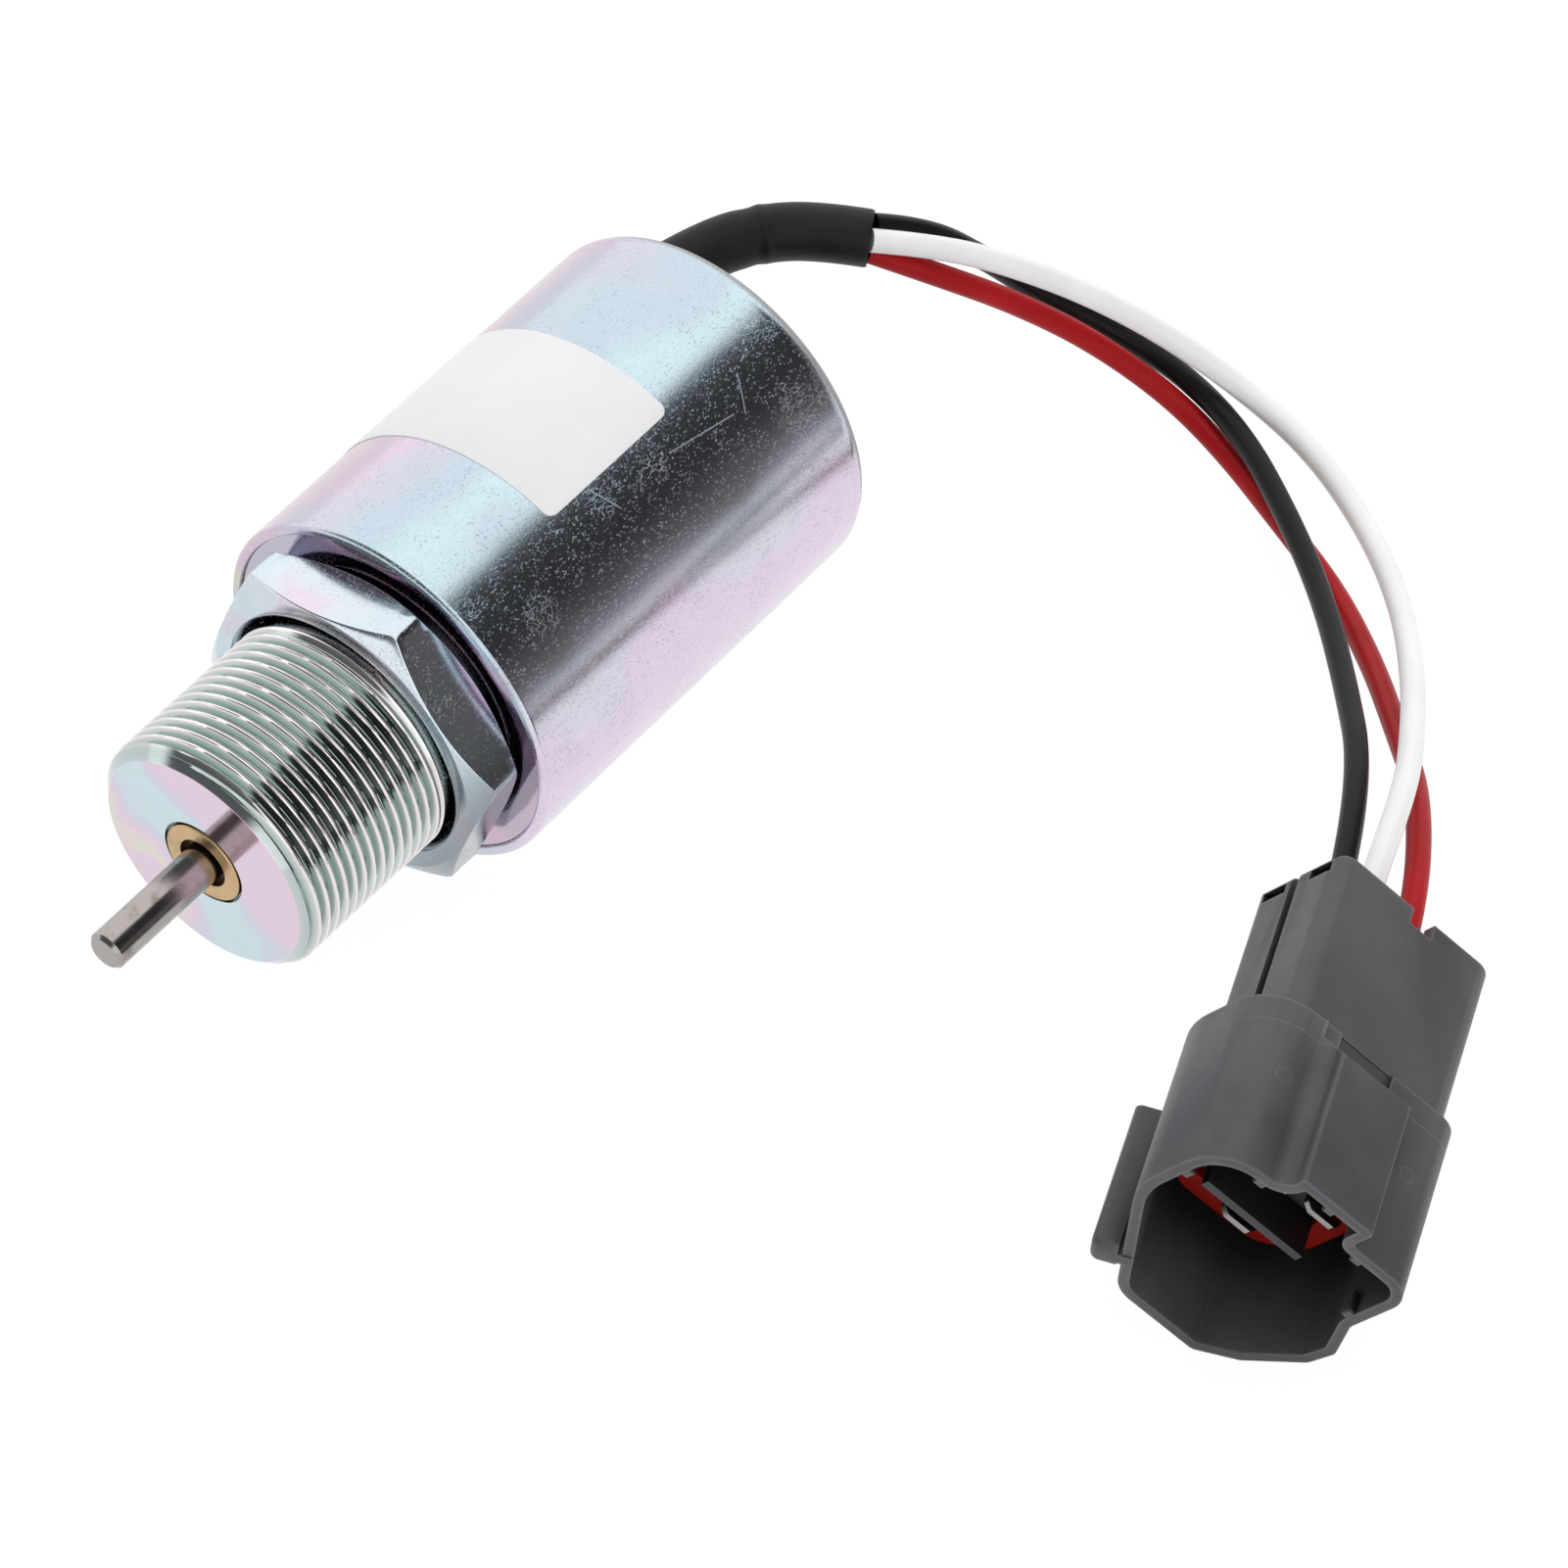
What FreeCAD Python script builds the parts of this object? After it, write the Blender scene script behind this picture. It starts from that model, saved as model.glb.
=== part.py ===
import FreeCAD, Part
import math
import os

# Fuel shutoff solenoid lying on its side, with its wires and plug on the same floor.
# X runs along the axis from the nose to the rear, Z is up, all sizes are in millimetres.
# The origin is on the axis, in the plane of the lock nut's front face.

# Nose, thread and lock nut
THREAD_R = 15.0
NOSE_LENGTH = 22.8
NOSE_CHAMFER = 1.6
THREAD_PITCH = 1.5
THREAD_DEPTH = 0.85
THREAD_CREST = 0.25
RUNOUT_START = -0.6
RUNOUT_DEPTH = 0.25
NECK_R = 13.6
NECK_WIDTH = 1.6
NUT_WALL = 3.0
NUT_THICKNESS = 7.0
NUT_CORNER_ANGLE = 50.0
NUT_CHAMFER_INSET = 0.15
NUT_CORNER_ROUND = 1.4
NUT_BORE_GAP = 0.05
NUT_MOUTH = 1.0
NUT_TO_CAN = 0.6

# Can, made of drawn sheet
CAN_R = 22.4
CAN_WALL = 1.3
CAN_LENGTH = 57.4
LIP_ROUND = 0.6
PLATE_RECESS = 0.45
PLATE_THICKNESS = 6.0
SHOULDER_R = 3.0
CRIMP_WIDTH = 3.9
SHELL_GAP = 0.05

# Push rod, bush and rod seal
ROD_R = 2.32
ROD_REACH = 15.8
ROD_TIP_CHAMFER = 0.45
ROD_IN_PLUNGER = 8.0
RUNNING_GAP = 0.04
BUSH_R = 4.2
BUSH_LENGTH = 10.5
BUSH_FLANGE_R = 5.07
BUSH_FLANGE = 1.2
BUSH_PROUD = 0.12
BUSH_MOUTH_R = 3.1
BUSH_MOUTH_DEPTH = 1.0
BUSH_POCKET_R = 5.4
SEAL_LENGTH = 2.6
SEAL_BITE = 0.05
ROD_BORE_R = 3.2

# Plunger, pole and guide tube
PLUNGER_R = 7.92
PLUNGER_LENGTH = 32.0
PLUNGER_FRONT = 4.0
STROKE = 10.5
END_GAP = 0.3
CUSHION = 1.0
WASHER = 0.9
TUBE_WALL = 0.65
SLIDE_GAP = 0.08
SPRING_BORE_R = 4.7
PLUNGER_SPRING_DEPTH = 12.0
POLE_SPRING_DEPTH = 4.0
SPRING_WIRE_R = 0.45
SPRING_R = 3.8
SPRING_TURNS = 8
POLE_STUB_R = 5.0

# Coil
BOBBIN_WALL = 1.1
BOBBIN_FLANGE = 1.4
BOBBIN_GAP = 0.5
PULL_WINDING_SHARE = 0.45
HOLD_WINDING_GAP = 2.0
WRAP = 0.4
FIT_GAP = 0.05
COIL_END_GAP = 0.1

# Rear end
FLUX_PLATE = 3.0
OUTLET_FROM_EDGE = 4.63
OUTLET_ANGLE = 33.2
OUTLET_HOLE_R = 3.4
COVER_RIM = 0.6
COVER_RISE = 0.95
GROMMET_R = 4.2
GROMMET_TIP_R = 3.8
GROMMET_LENGTH = 4.4

# Label, wrapped round the can
LABEL_START = 24.4
LABEL_WIDTH = 20.3
LABEL_FROM = -14.0
LABEL_TO = 116.0
LABEL_THICKNESS = 0.14
LABEL_CORNER = 1.2

# Sleeve and wires
SLEEVE_R = 3.5
WIRE_R = 1.4
WIRE_RING_R = 1.75
WIRE_START_ANGLES = {"white": 140.0, "red": 260.0, "black": 20.0}
SLEEVE_ROUTE = [
    (75.4, 9.8, 8.1),
    (81.2, 6.5, 8.3),
    (86.0, 1.8, 7.9),
    (89.1, -3.4, 7.3),
]
WIRE_ROUTES = {
    "white": [
        (94.2, -9.8, 6.0),
        (100.1, -16.2, 2.0),
        (106.5, -22.3, -4.0),
        (111.9, -29.4, -10.5),
        (114.4, -38.8, -15.5),
        (113.2, -49.2, -17.5),
        (107.8, -60.2, -17.5),
        (98.3, -71.8, -14.5),
        (85.5, -82.3, -9.0),
        (73.1, -90.3, -3.5),
        (63.6, -95.6, 1.4),
    ],
    "red": [
        (93.6, -10.3, 2.0),
        (101.0, -15.8, -5.0),
        (107.1, -22.2, -12.0),
        (110.4, -30.9, -18.0),
        (109.3, -40.2, -20.9),
        (104.3, -51.6, -20.9),
        (98.9, -62.9, -20.2),
        (89.6, -74.5, -16.5),
        (79.3, -84.7, -11.5),
        (68.8, -94.6, -5.4),
    ],
    "black": [
        (96.2, -5.9, 5.0),
        (101.7, -10.3, -1.5),
        (106.9, -15.0, -9.0),
        (111.7, -21.0, -14.2),
        (113.6, -30.3, -17.2),
        (110.1, -41.8, -17.4),
        (102.0, -54.4, -17.2),
        (93.6, -64.9, -16.0),
        (82.3, -75.6, -12.5),
        (69.8, -86.2, -7.6),
    ],
}
RUN_SHARE = 0.45
START_OVERLAP = 1.0

# Plug. Its own frame has U across, V down and S to the rear, with S = 0 at the mouth's rim.
PLUG_X = 6.1
PLUG_Y = -115.9
PLUG_HEADING = 21.7
PLUG_ROLL = 40.9
PLUG_WALL = 1.25
SHROUD_LENGTH = 22.0
SHROUD_FLOOR = 3.5
TOP_V = -11.4
SIDE_U = 14.5
LEFT_U = -13.4
LEFT_V = 2.2
LOW_LEFT_U = -2.4
FLARE_U = 17.0
BEVEL_U = 8.8
BOTTOM_V = 17.1
BEVEL_LENGTH = 5.2
KEY_HALF = 5.0
KEY_RISE = 3.3
KEY_LENGTH = 17.0
KEY_SLOPE = 3.0
KEY_FILLET = 2.0
BLOCK_LENGTH = 21.0
BLOCK_LEFT = -10.2
BLOCK_RIGHT = 12.9
BLOCK_TOP = -10.9
BLOCK_SIDE = 1.8
BLOCK_BOTTOM = 8.2
BLOCK_BEVEL = 6.4
BLOCK_END_ROUND = 1.1
REAR_POCKET = 3.0
REAR_WALL = 1.6
NOTCH_LEFT = 0.5
NOTCH_RIGHT = 3.6
NOTCH_DEPTH = 2.0
GROOVE_V = -4.4
GROOVE_WIDTH = 1.3
GROOVE_DEPTH = 0.8
SLOT_LENGTH = 1.3
SLOT_DEPTH = 0.9
RAIL_LENGTH = 18.8
RAIL_START = -0.2
RAIL_END_ROUND = 1.2
RAIL_WIDTH = 3.6
RAIL_THICKNESS = 3.0
RAIL_STAND_OFF = 0.5
RAIL_WEB = 1.4
RAIL_ALONG_BEVEL = 5.4
TONGUE_HALF = 6.9
TONGUE_V = -0.5
TONGUE_THICKNESS = 1.1
TONGUE_FRONT = 4.2
TAB_FRONT = 4.3
TAB_HALF = 2.35
TAB_THICKNESS = 0.8
TAB_CHAMFER = 0.8
CRIMP_R = 1.7
CRIMP_LENGTH = 9.0
TERMINALS = {
    "upper_left": ("white", -2.8, -6.6),
    "upper_right": ("red", 3.6, -6.6),
    "lower": ("black", -0.3, 2.1),
}
WIRE_IN_PLUG = 7.0
WIRE_STRAIGHT = 11.0
BORE_R = 2.7
WIRE_HOLE_R = 1.9
SEAL_OUTER_R = 2.68
WIRE_SEAL_LENGTH = 3.6
RETAINER_THICKNESS = 1.2
CORE_LEFT = -5.8
CORE_RIGHT = 6.8
CORE_TOP = -8.8
CORE_BOTTOM = 4.6
CORE_FRONT = 9.6
LOCK_DEPTH = 8.6
LOCK_THICKNESS = 2.5
LOCK_BORDER = 2.9
LOCK_LEFT_BORDER = 3.8
LOCK_CLEARANCE = 0.1

# Places that follow from the sizes
NOSE_FACE = -NOSE_LENGTH
NUT_FLAT_R = THREAD_R + NUT_WALL
NUT_CHAMFER_R = NUT_FLAT_R - NUT_CHAMFER_INSET
LIP_FACE = NUT_THICKNESS + NUT_TO_CAN
PLATE_FACE = LIP_FACE + PLATE_RECESS
PLATE_BACK = PLATE_FACE + PLATE_THICKNESS
CAN_REAR = LIP_FACE + CAN_LENGTH
CAN_BORE_R = CAN_R - CAN_WALL
REAR_OPENING_R = CAN_R - CRIMP_WIDTH
OUTLET_Y = (REAR_OPENING_R - OUTLET_FROM_EDGE) * math.cos(math.radians(OUTLET_ANGLE))
OUTLET_Z = (REAR_OPENING_R - OUTLET_FROM_EDGE) * math.sin(math.radians(OUTLET_ANGLE))
FLOOR = -CAN_R
TUBE_R = PLUNGER_R + SLIDE_GAP
TUBE_OUTER_R = TUBE_R + TUBE_WALL
BOBBIN_BORE_R = TUBE_OUTER_R + FIT_GAP
BOBBIN_HUB_R = BOBBIN_BORE_R + BOBBIN_WALL
BOBBIN_R = CAN_BORE_R - BOBBIN_GAP
HOLD_WINDING_R = CAN_BORE_R - HOLD_WINDING_GAP
PULL_WINDING_R = BOBBIN_HUB_R + (HOLD_WINDING_R - BOBBIN_HUB_R) * PULL_WINDING_SHARE
CHAMBER_FLOOR = PLUNGER_FRONT - END_GAP - WASHER + 0.2
PLUNGER_REAR = PLUNGER_FRONT + PLUNGER_LENGTH
POLE_FRONT = PLUNGER_REAR + STROKE + END_GAP + CUSHION
LIP_INNER = CAN_REAR - CAN_WALL
COVER_FACE = LIP_INNER + COVER_RISE
FLUX_BACK = LIP_INNER - COVER_RIM - 2 * FIT_GAP
FLUX_FRONT = FLUX_BACK - FLUX_PLATE
SEAL_FRONT = NOSE_FACE + BUSH_LENGTH + FIT_GAP
PLUG_REAR = SHROUD_LENGTH + BLOCK_LENGTH
WIRE_END = PLUG_REAR - WIRE_IN_PLUG
SHROUD_FLOOR_FACE = SHROUD_LENGTH - SHROUD_FLOOR

X_AXIS = FreeCAD.Vector(1, 0, 0)
Z_AXIS = FreeCAD.Vector(0, 0, 1)


def on_axis(x, r):
    """A point of a turned profile, at x along the axis and r away from it."""
    return FreeCAD.Vector(x, r, 0)


def across_axis(y, z):
    """A point of an outline that lies square to the axis."""
    return FreeCAD.Vector(0, y, z)


def in_section(u, v):
    """A point of a plug section, in the plug's own frame."""
    return FreeCAD.Vector(u, v, 0)


def rounded_wire(corners, place):
    """A closed wire through (a, b, radius) corners, with an arc at each corner that has a radius."""
    edges = []
    ends = []
    count = len(corners)
    for i in range(count):
        a, b, radius = corners[i]
        here = FreeCAD.Vector(a, b, 0)
        back = FreeCAD.Vector(corners[i - 1][0], corners[i - 1][1], 0) - here
        ahead = FreeCAD.Vector(corners[(i + 1) % count][0], corners[(i + 1) % count][1], 0) - here
        back.normalize()
        ahead.normalize()
        if radius == 0:
            ends.append((here, None, here))
            continue
        half = back.getAngle(ahead) / 2
        cut = radius / math.tan(half)
        middle = back + ahead
        middle.normalize()
        crown = here + middle * (radius / math.sin(half) - radius)
        ends.append((here + back * cut, crown, here + ahead * cut))
    for i in range(count):
        start, crown, end = ends[i]
        following = ends[(i + 1) % count][0]
        if crown is not None:
            points = [place(p.x, p.y) for p in (start, crown, end)]
            edges.append(Part.Arc(points[0], points[1], points[2]).toShape())
        if (following - end).Length > 1e-6:
            edges.append(Part.LineSegment(place(end.x, end.y), place(following.x, following.y)).toShape())
    return Part.Wire(edges)


def turned(corners):
    """A solid turned about the X axis from (x, r) or (x, r, rounding) corners."""
    full = [(c[0], c[1], c[2] if len(c) > 2 else 0) for c in corners]
    face = Part.Face(rounded_wire(full, on_axis))
    return face.revolve(FreeCAD.Vector(0, 0, 0), X_AXIS, 360)


def rod(x0, x1, r, y=0.0, z=0.0):
    """A cylinder along X."""
    return Part.makeCylinder(r, x1 - x0, FreeCAD.Vector(x0, y, z), X_AXIS)


def ring(x0, x1, outer, inner):
    """A ring about the X axis."""
    return rod(x0, x1, outer).cut(rod(x0, x1, inner))


def thread_turns():
    """The outline of the thread on the nose, each of its turns a plain groove."""
    start = NOSE_FACE + NOSE_CHAMFER
    groove = THREAD_PITCH - THREAD_CREST
    points = []
    for i in range(int((RUNOUT_START - start) / THREAD_PITCH)):
        x = start + THREAD_CREST + i * THREAD_PITCH
        points.append((x, THREAD_R))
        points.append((x + groove / 2, THREAD_R - THREAD_DEPTH))
        points.append((x + groove, THREAD_R))
    return points


def make_threaded_nose():
    """The nose with its thread, and the front plate that closes the can."""
    chamfer_r = THREAD_R - NOSE_CHAMFER
    runout_r = THREAD_R - RUNOUT_DEPTH
    plate_r = CAN_BORE_R - SHELL_GAP
    neck_x = PLATE_FACE - NECK_WIDTH
    seal_back = SEAL_FRONT + SEAL_LENGTH + FIT_GAP
    pocket = NOSE_FACE + BUSH_FLANGE - BUSH_PROUD
    return turned([
        (NOSE_FACE, BUSH_POCKET_R),
        (NOSE_FACE, chamfer_r),
        (NOSE_FACE + NOSE_CHAMFER, THREAD_R),
        *thread_turns(),
        (RUNOUT_START, THREAD_R),
        (RUNOUT_START, runout_r),
        (neck_x, runout_r),
        (neck_x, NECK_R),
        (PLATE_FACE, NECK_R),
        (PLATE_FACE, plate_r),
        (PLATE_BACK, plate_r),
        (PLATE_BACK, TUBE_OUTER_R + FIT_GAP),
        (CHAMBER_FLOOR, TUBE_OUTER_R + FIT_GAP),
        (CHAMBER_FLOOR, ROD_BORE_R),
        (seal_back, ROD_BORE_R),
        (seal_back, BUSH_R + SEAL_BITE),
        (pocket, BUSH_R + SEAL_BITE),
        (pocket, BUSH_POCKET_R),
    ])


def make_lock_nut():
    """A thin hexagonal nut with rounded corners, both faces chamfered and its bore opened at both ends."""
    corner_r = NUT_FLAT_R / math.cos(math.radians(30))
    corners = []
    for i in range(6):
        angle = math.radians(NUT_CORNER_ANGLE + 60 * i)
        corners.append((corner_r * math.cos(angle), corner_r * math.sin(angle), NUT_CORNER_ROUND))
    block = Part.Face(rounded_wire(corners, across_axis)).extrude(X_AXIS * NUT_THICKNESS)
    drop = (corner_r - NUT_CHAMFER_R) * math.tan(math.radians(30))
    bore_r = THREAD_R + NUT_BORE_GAP
    body = turned([
        (NUT_MOUTH, bore_r),
        (0, bore_r + NUT_MOUTH),
        (0, NUT_CHAMFER_R),
        (drop, corner_r),
        (NUT_THICKNESS - drop, corner_r),
        (NUT_THICKNESS, NUT_CHAMFER_R),
        (NUT_THICKNESS, bore_r + NUT_MOUTH),
        (NUT_THICKNESS - NUT_MOUTH, bore_r),
    ])
    return block.common(body)


def make_can_shell():
    """The drawn can, open in front with a rounded lip, and crimped in over the rear cover."""
    inner_shoulder = SHOULDER_R - CAN_WALL
    return turned([
        (LIP_FACE, CAN_BORE_R, LIP_ROUND * 0.4),
        (LIP_FACE, CAN_R, LIP_ROUND),
        (CAN_REAR, CAN_R, SHOULDER_R),
        (CAN_REAR, REAR_OPENING_R, 0.3),
        (LIP_INNER, REAR_OPENING_R, 0.3),
        (LIP_INNER, CAN_BORE_R, inner_shoulder),
    ])


def make_guide_bushing():
    """The bush that guides the rod, with a flange let into the nose."""
    front = NOSE_FACE - BUSH_PROUD
    bore_r = ROD_R + RUNNING_GAP
    return turned([
        (front + BUSH_MOUTH_DEPTH, bore_r),
        (front + BUSH_MOUTH_DEPTH, BUSH_MOUTH_R),
        (front, BUSH_MOUTH_R, 0.15),
        (front, BUSH_FLANGE_R, 0.2),
        (front + BUSH_FLANGE, BUSH_FLANGE_R),
        (front + BUSH_FLANGE, BUSH_R),
        (NOSE_FACE + BUSH_LENGTH, BUSH_R),
        (NOSE_FACE + BUSH_LENGTH, bore_r),
    ])


def make_push_rod():
    """The steel rod, from its chamfered tip to its end inside the plunger."""
    tip = NOSE_FACE - ROD_REACH
    end = PLUNGER_FRONT + ROD_IN_PLUNGER - FIT_GAP
    return turned([
        (tip, 0),
        (tip, ROD_R - ROD_TIP_CHAMFER),
        (tip + ROD_TIP_CHAMFER, ROD_R),
        (end, ROD_R),
        (end, 0),
    ])


def make_rod_seal():
    """The rubber seal that sits on the rod behind the bush."""
    return ring(SEAL_FRONT, SEAL_FRONT + SEAL_LENGTH, BUSH_R, ROD_R + RUNNING_GAP)


def make_plunger_core():
    """The soft iron plunger, bored for the rod in front and for the spring behind."""
    rod_bore_r = ROD_R + 0.01
    rod_floor = PLUNGER_FRONT + ROD_IN_PLUNGER
    spring_floor = PLUNGER_REAR - PLUNGER_SPRING_DEPTH
    body = turned([
        (PLUNGER_FRONT, rod_bore_r),
        (PLUNGER_FRONT, PLUNGER_R, 0.5),
        (PLUNGER_REAR, PLUNGER_R, 0.5),
        (PLUNGER_REAR, SPRING_BORE_R),
        (spring_floor, SPRING_BORE_R),
        (spring_floor, 0),
        (rod_floor, 0),
        (rod_floor, rod_bore_r),
    ])
    return body


def make_return_spring():
    """The coil spring between the plunger and the fixed pole."""
    start = PLUNGER_REAR - PLUNGER_SPRING_DEPTH + SPRING_WIRE_R + FIT_GAP
    end = POLE_FRONT + POLE_SPRING_DEPTH - SPRING_WIRE_R - FIT_GAP
    length = end - start
    helix = Part.makeHelix(length / SPRING_TURNS, length, SPRING_R)
    across = FreeCAD.Vector(SPRING_R, 0, 0)
    outline = Part.Wire(Part.makeCircle(SPRING_WIRE_R, across, FreeCAD.Vector(0, 1, 0)))
    coil = Part.Wire(helix).makePipeShell([outline], True, True)
    coil.rotate(FreeCAD.Vector(0, 0, 0), FreeCAD.Vector(0, 1, 0), 90)
    coil.translate(FreeCAD.Vector(start, 0, 0))
    return coil


def make_pole_piece():
    """The fixed pole that closes the guide tube, with a stub through the flux plate."""
    spring_floor = POLE_FRONT + POLE_SPRING_DEPTH
    return turned([
        (POLE_FRONT, SPRING_BORE_R),
        (POLE_FRONT, PLUNGER_R, 0.5),
        (FLUX_FRONT, PLUNGER_R),
        (FLUX_FRONT, POLE_STUB_R),
        (FLUX_BACK, POLE_STUB_R),
        (FLUX_BACK, 0),
        (spring_floor, 0),
        (spring_floor, SPRING_BORE_R),
    ])


def make_pole_cushion():
    """The thin rubber disc on the pole's face."""
    return ring(POLE_FRONT - CUSHION, POLE_FRONT, PLUNGER_R - 0.5, SPRING_BORE_R + 0.4)


def make_rest_washer():
    """The washer on the chamber's floor that the plunger comes back to."""
    return ring(CHAMBER_FLOOR, CHAMBER_FLOOR + WASHER, TUBE_R - 0.2, ROD_R + 0.3)


def make_guide_tube():
    """The thin tube that the plunger slides in."""
    return ring(CHAMBER_FLOOR, FLUX_FRONT, TUBE_OUTER_R, TUBE_R)


def make_bobbin():
    """The moulded bobbin, with a flange at each end."""
    front = PLATE_BACK + COIL_END_GAP
    rear = FLUX_FRONT - COIL_END_GAP
    return turned([
        (front, BOBBIN_BORE_R),
        (front, BOBBIN_R, 0.3),
        (front + BOBBIN_FLANGE, BOBBIN_R, 0.3),
        (front + BOBBIN_FLANGE, BOBBIN_HUB_R),
        (rear - BOBBIN_FLANGE, BOBBIN_HUB_R),
        (rear - BOBBIN_FLANGE, BOBBIN_R, 0.3),
        (rear, BOBBIN_R, 0.3),
        (rear, BOBBIN_BORE_R),
    ])


def make_winding(inner, outer):
    """One layer of the coil, between the bobbin's flanges."""
    front = PLATE_BACK + COIL_END_GAP + BOBBIN_FLANGE + FIT_GAP
    rear = FLUX_FRONT - COIL_END_GAP - BOBBIN_FLANGE - FIT_GAP
    return ring(front, rear, outer, inner)


def make_flux_plate():
    """The steel plate behind the coil, with a hole for the pole's stub and one for the wires."""
    plate = turned([
        (FLUX_FRONT, POLE_STUB_R + FIT_GAP),
        (FLUX_FRONT, CAN_BORE_R - SHELL_GAP),
        (FLUX_BACK, CAN_BORE_R - SHELL_GAP, SHOULDER_R - CAN_WALL),
        (FLUX_BACK, POLE_STUB_R + FIT_GAP),
    ])
    return plate.cut(rod(FLUX_FRONT, FLUX_BACK, OUTLET_HOLE_R, OUTLET_Y, OUTLET_Z))


def make_rear_cover():
    """The moulded cover that the can's rear edge is crimped over."""
    under_lip_r = CAN_BORE_R - (SHOULDER_R - CAN_WALL) - FIT_GAP
    front = FLUX_BACK + FIT_GAP
    step = front + COVER_RIM
    return turned([
        (front, 0),
        (front, under_lip_r),
        (step, under_lip_r),
        (step, REAR_OPENING_R - 0.2),
        (COVER_FACE, REAR_OPENING_R - 0.2, 0.25),
        (COVER_FACE, 0),
    ])


def make_wire_grommet():
    """The short tapered outlet that the sleeved wires come out of."""
    cone = Part.makeCone(
        GROMMET_R, GROMMET_TIP_R, GROMMET_LENGTH, FreeCAD.Vector(COVER_FACE, OUTLET_Y, OUTLET_Z), X_AXIS
    )
    tip = [e for e in cone.Edges if e.BoundBox.XMin > COVER_FACE + GROMMET_LENGTH / 2 and len(e.Vertexes) == 1]
    return cone.makeFillet(0.25, tip)


def make_label():
    """The label, a thin bent sheet on the can with rounded corners."""
    inner = CAN_R + 0.01
    outer = inner + LABEL_THICKNESS
    outline = [
        (LABEL_START, inner),
        (LABEL_START, outer),
        (LABEL_START + LABEL_WIDTH, outer),
        (LABEL_START + LABEL_WIDTH, inner),
        (LABEL_START, inner),
    ]
    face = Part.Face(Part.makePolygon([on_axis(x, r) for x, r in outline]))
    sheet = face.revolve(FreeCAD.Vector(0, 0, 0), X_AXIS, LABEL_TO - LABEL_FROM)
    sheet.rotate(FreeCAD.Vector(0, 0, 0), X_AXIS, LABEL_FROM)
    corners = [e for e in sheet.Edges if abs(e.Length - LABEL_THICKNESS) < 1e-4]
    return sheet.makeFillet(LABEL_CORNER, corners)


def tube_path(points):
    """Straight runs joined by tangent arcs, as a wire, with the smallest arc radius."""
    edges = []
    radii = []
    start = points[0]
    for i in range(1, len(points) - 1):
        corner = points[i]
        back = points[i - 1] - corner
        ahead = points[i + 1] - corner
        run = min(back.Length, ahead.Length)
        back.normalize()
        ahead.normalize()
        cut = RUN_SHARE * run
        half_turn = (math.pi - back.getAngle(ahead)) / 2
        radius = cut / math.tan(half_turn)
        radii.append(radius)
        middle = back + ahead
        middle.normalize()
        crown = corner + middle * (radius / math.cos(half_turn) - radius)
        first = corner + back * cut
        last = corner + ahead * cut
        edges.append(Part.LineSegment(start, first).toShape())
        edges.append(Part.Arc(first, crown, last).toShape())
        start = last
    edges.append(Part.LineSegment(start, points[-1]).toShape())
    return Part.Wire(edges), min(radii)


def tube_along(points, r, name, holder):
    """A round tube through the points, its first end flush on the piece that it comes out of."""
    along = points[1] - points[0]
    along.normalize()
    start = points[0] - along * START_OVERLAP
    path, tightest = tube_path([start] + points[1:])
    outline = Part.Wire(Part.makeCircle(r, start, along))
    tube = path.makePipeShell([outline], True, False)
    ratio = tube.Volume / (math.pi * r * r * path.Length)
    length = path.Length - START_OVERLAP
    print(f"{name}: length {length:.1f}, tightest arc {tightest:.1f}, volume ratio {ratio:.4f}")
    return tube.cut(holder)


def vectors(points):
    """The listed points as vectors."""
    return [FreeCAD.Vector(*p) for p in points]


def sleeve_points():
    """The sleeve's route, from the grommet's tip to its cut end."""
    exit_point = (COVER_FACE + GROMMET_LENGTH, OUTLET_Y, OUTLET_Z)
    return vectors([exit_point] + SLEEVE_ROUTE)


def wire_start(colour):
    """Where a wire leaves the sleeve's cut end, on a ring round the sleeve's centre."""
    points = sleeve_points()
    along = points[-1] - points[-2]
    along.normalize()
    across = FreeCAD.Vector(-along.y, along.x, 0)
    across.normalize()
    up = along.cross(across)
    if up.z < 0:
        up = up * -1
    angle = math.radians(WIRE_START_ANGLES[colour])
    return points[-1] + across * (WIRE_RING_R * math.cos(angle)) + up * (WIRE_RING_R * math.sin(angle))


def plug_placement():
    """Where the plug lies: level, turned to its heading, and rolled on to its bevel."""
    heading = math.radians(PLUG_HEADING)
    roll = math.radians(PLUG_ROLL)
    back = FreeCAD.Vector(math.cos(heading), math.sin(heading), 0)
    across = FreeCAD.Vector(math.sin(heading), -math.cos(heading), 0)
    u = across * math.cos(roll) - Z_AXIS * math.sin(roll)
    v = across * -math.sin(roll) - Z_AXIS * math.cos(roll)
    height = FLOOR + BEVEL_U * math.sin(roll) + BOTTOM_V * math.cos(roll)
    matrix = FreeCAD.Matrix(
        u.x, v.x, back.x, PLUG_X,
        u.y, v.y, back.y, PLUG_Y,
        u.z, v.z, back.z, height,
        0, 0, 0, 1,
    )
    return FreeCAD.Placement(matrix)


def placed(shape):
    """A shape of the plug, moved from the plug's frame to where the plug lies."""
    return shape.transformed(plug_placement().toMatrix(), True)


def wire_points(colour):
    """A wire's whole route, from the sleeve to its terminal in the plug."""
    u, v = [(t[1], t[2]) for t in TERMINALS.values() if t[0] == colour][0]
    spot = plug_placement()
    inside = spot.multVec(FreeCAD.Vector(u, v, WIRE_END))
    outside = spot.multVec(FreeCAD.Vector(u, v, WIRE_END + WIRE_STRAIGHT))
    return [wire_start(colour)] + vectors(WIRE_ROUTES[colour]) + [outside, inside]


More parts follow.
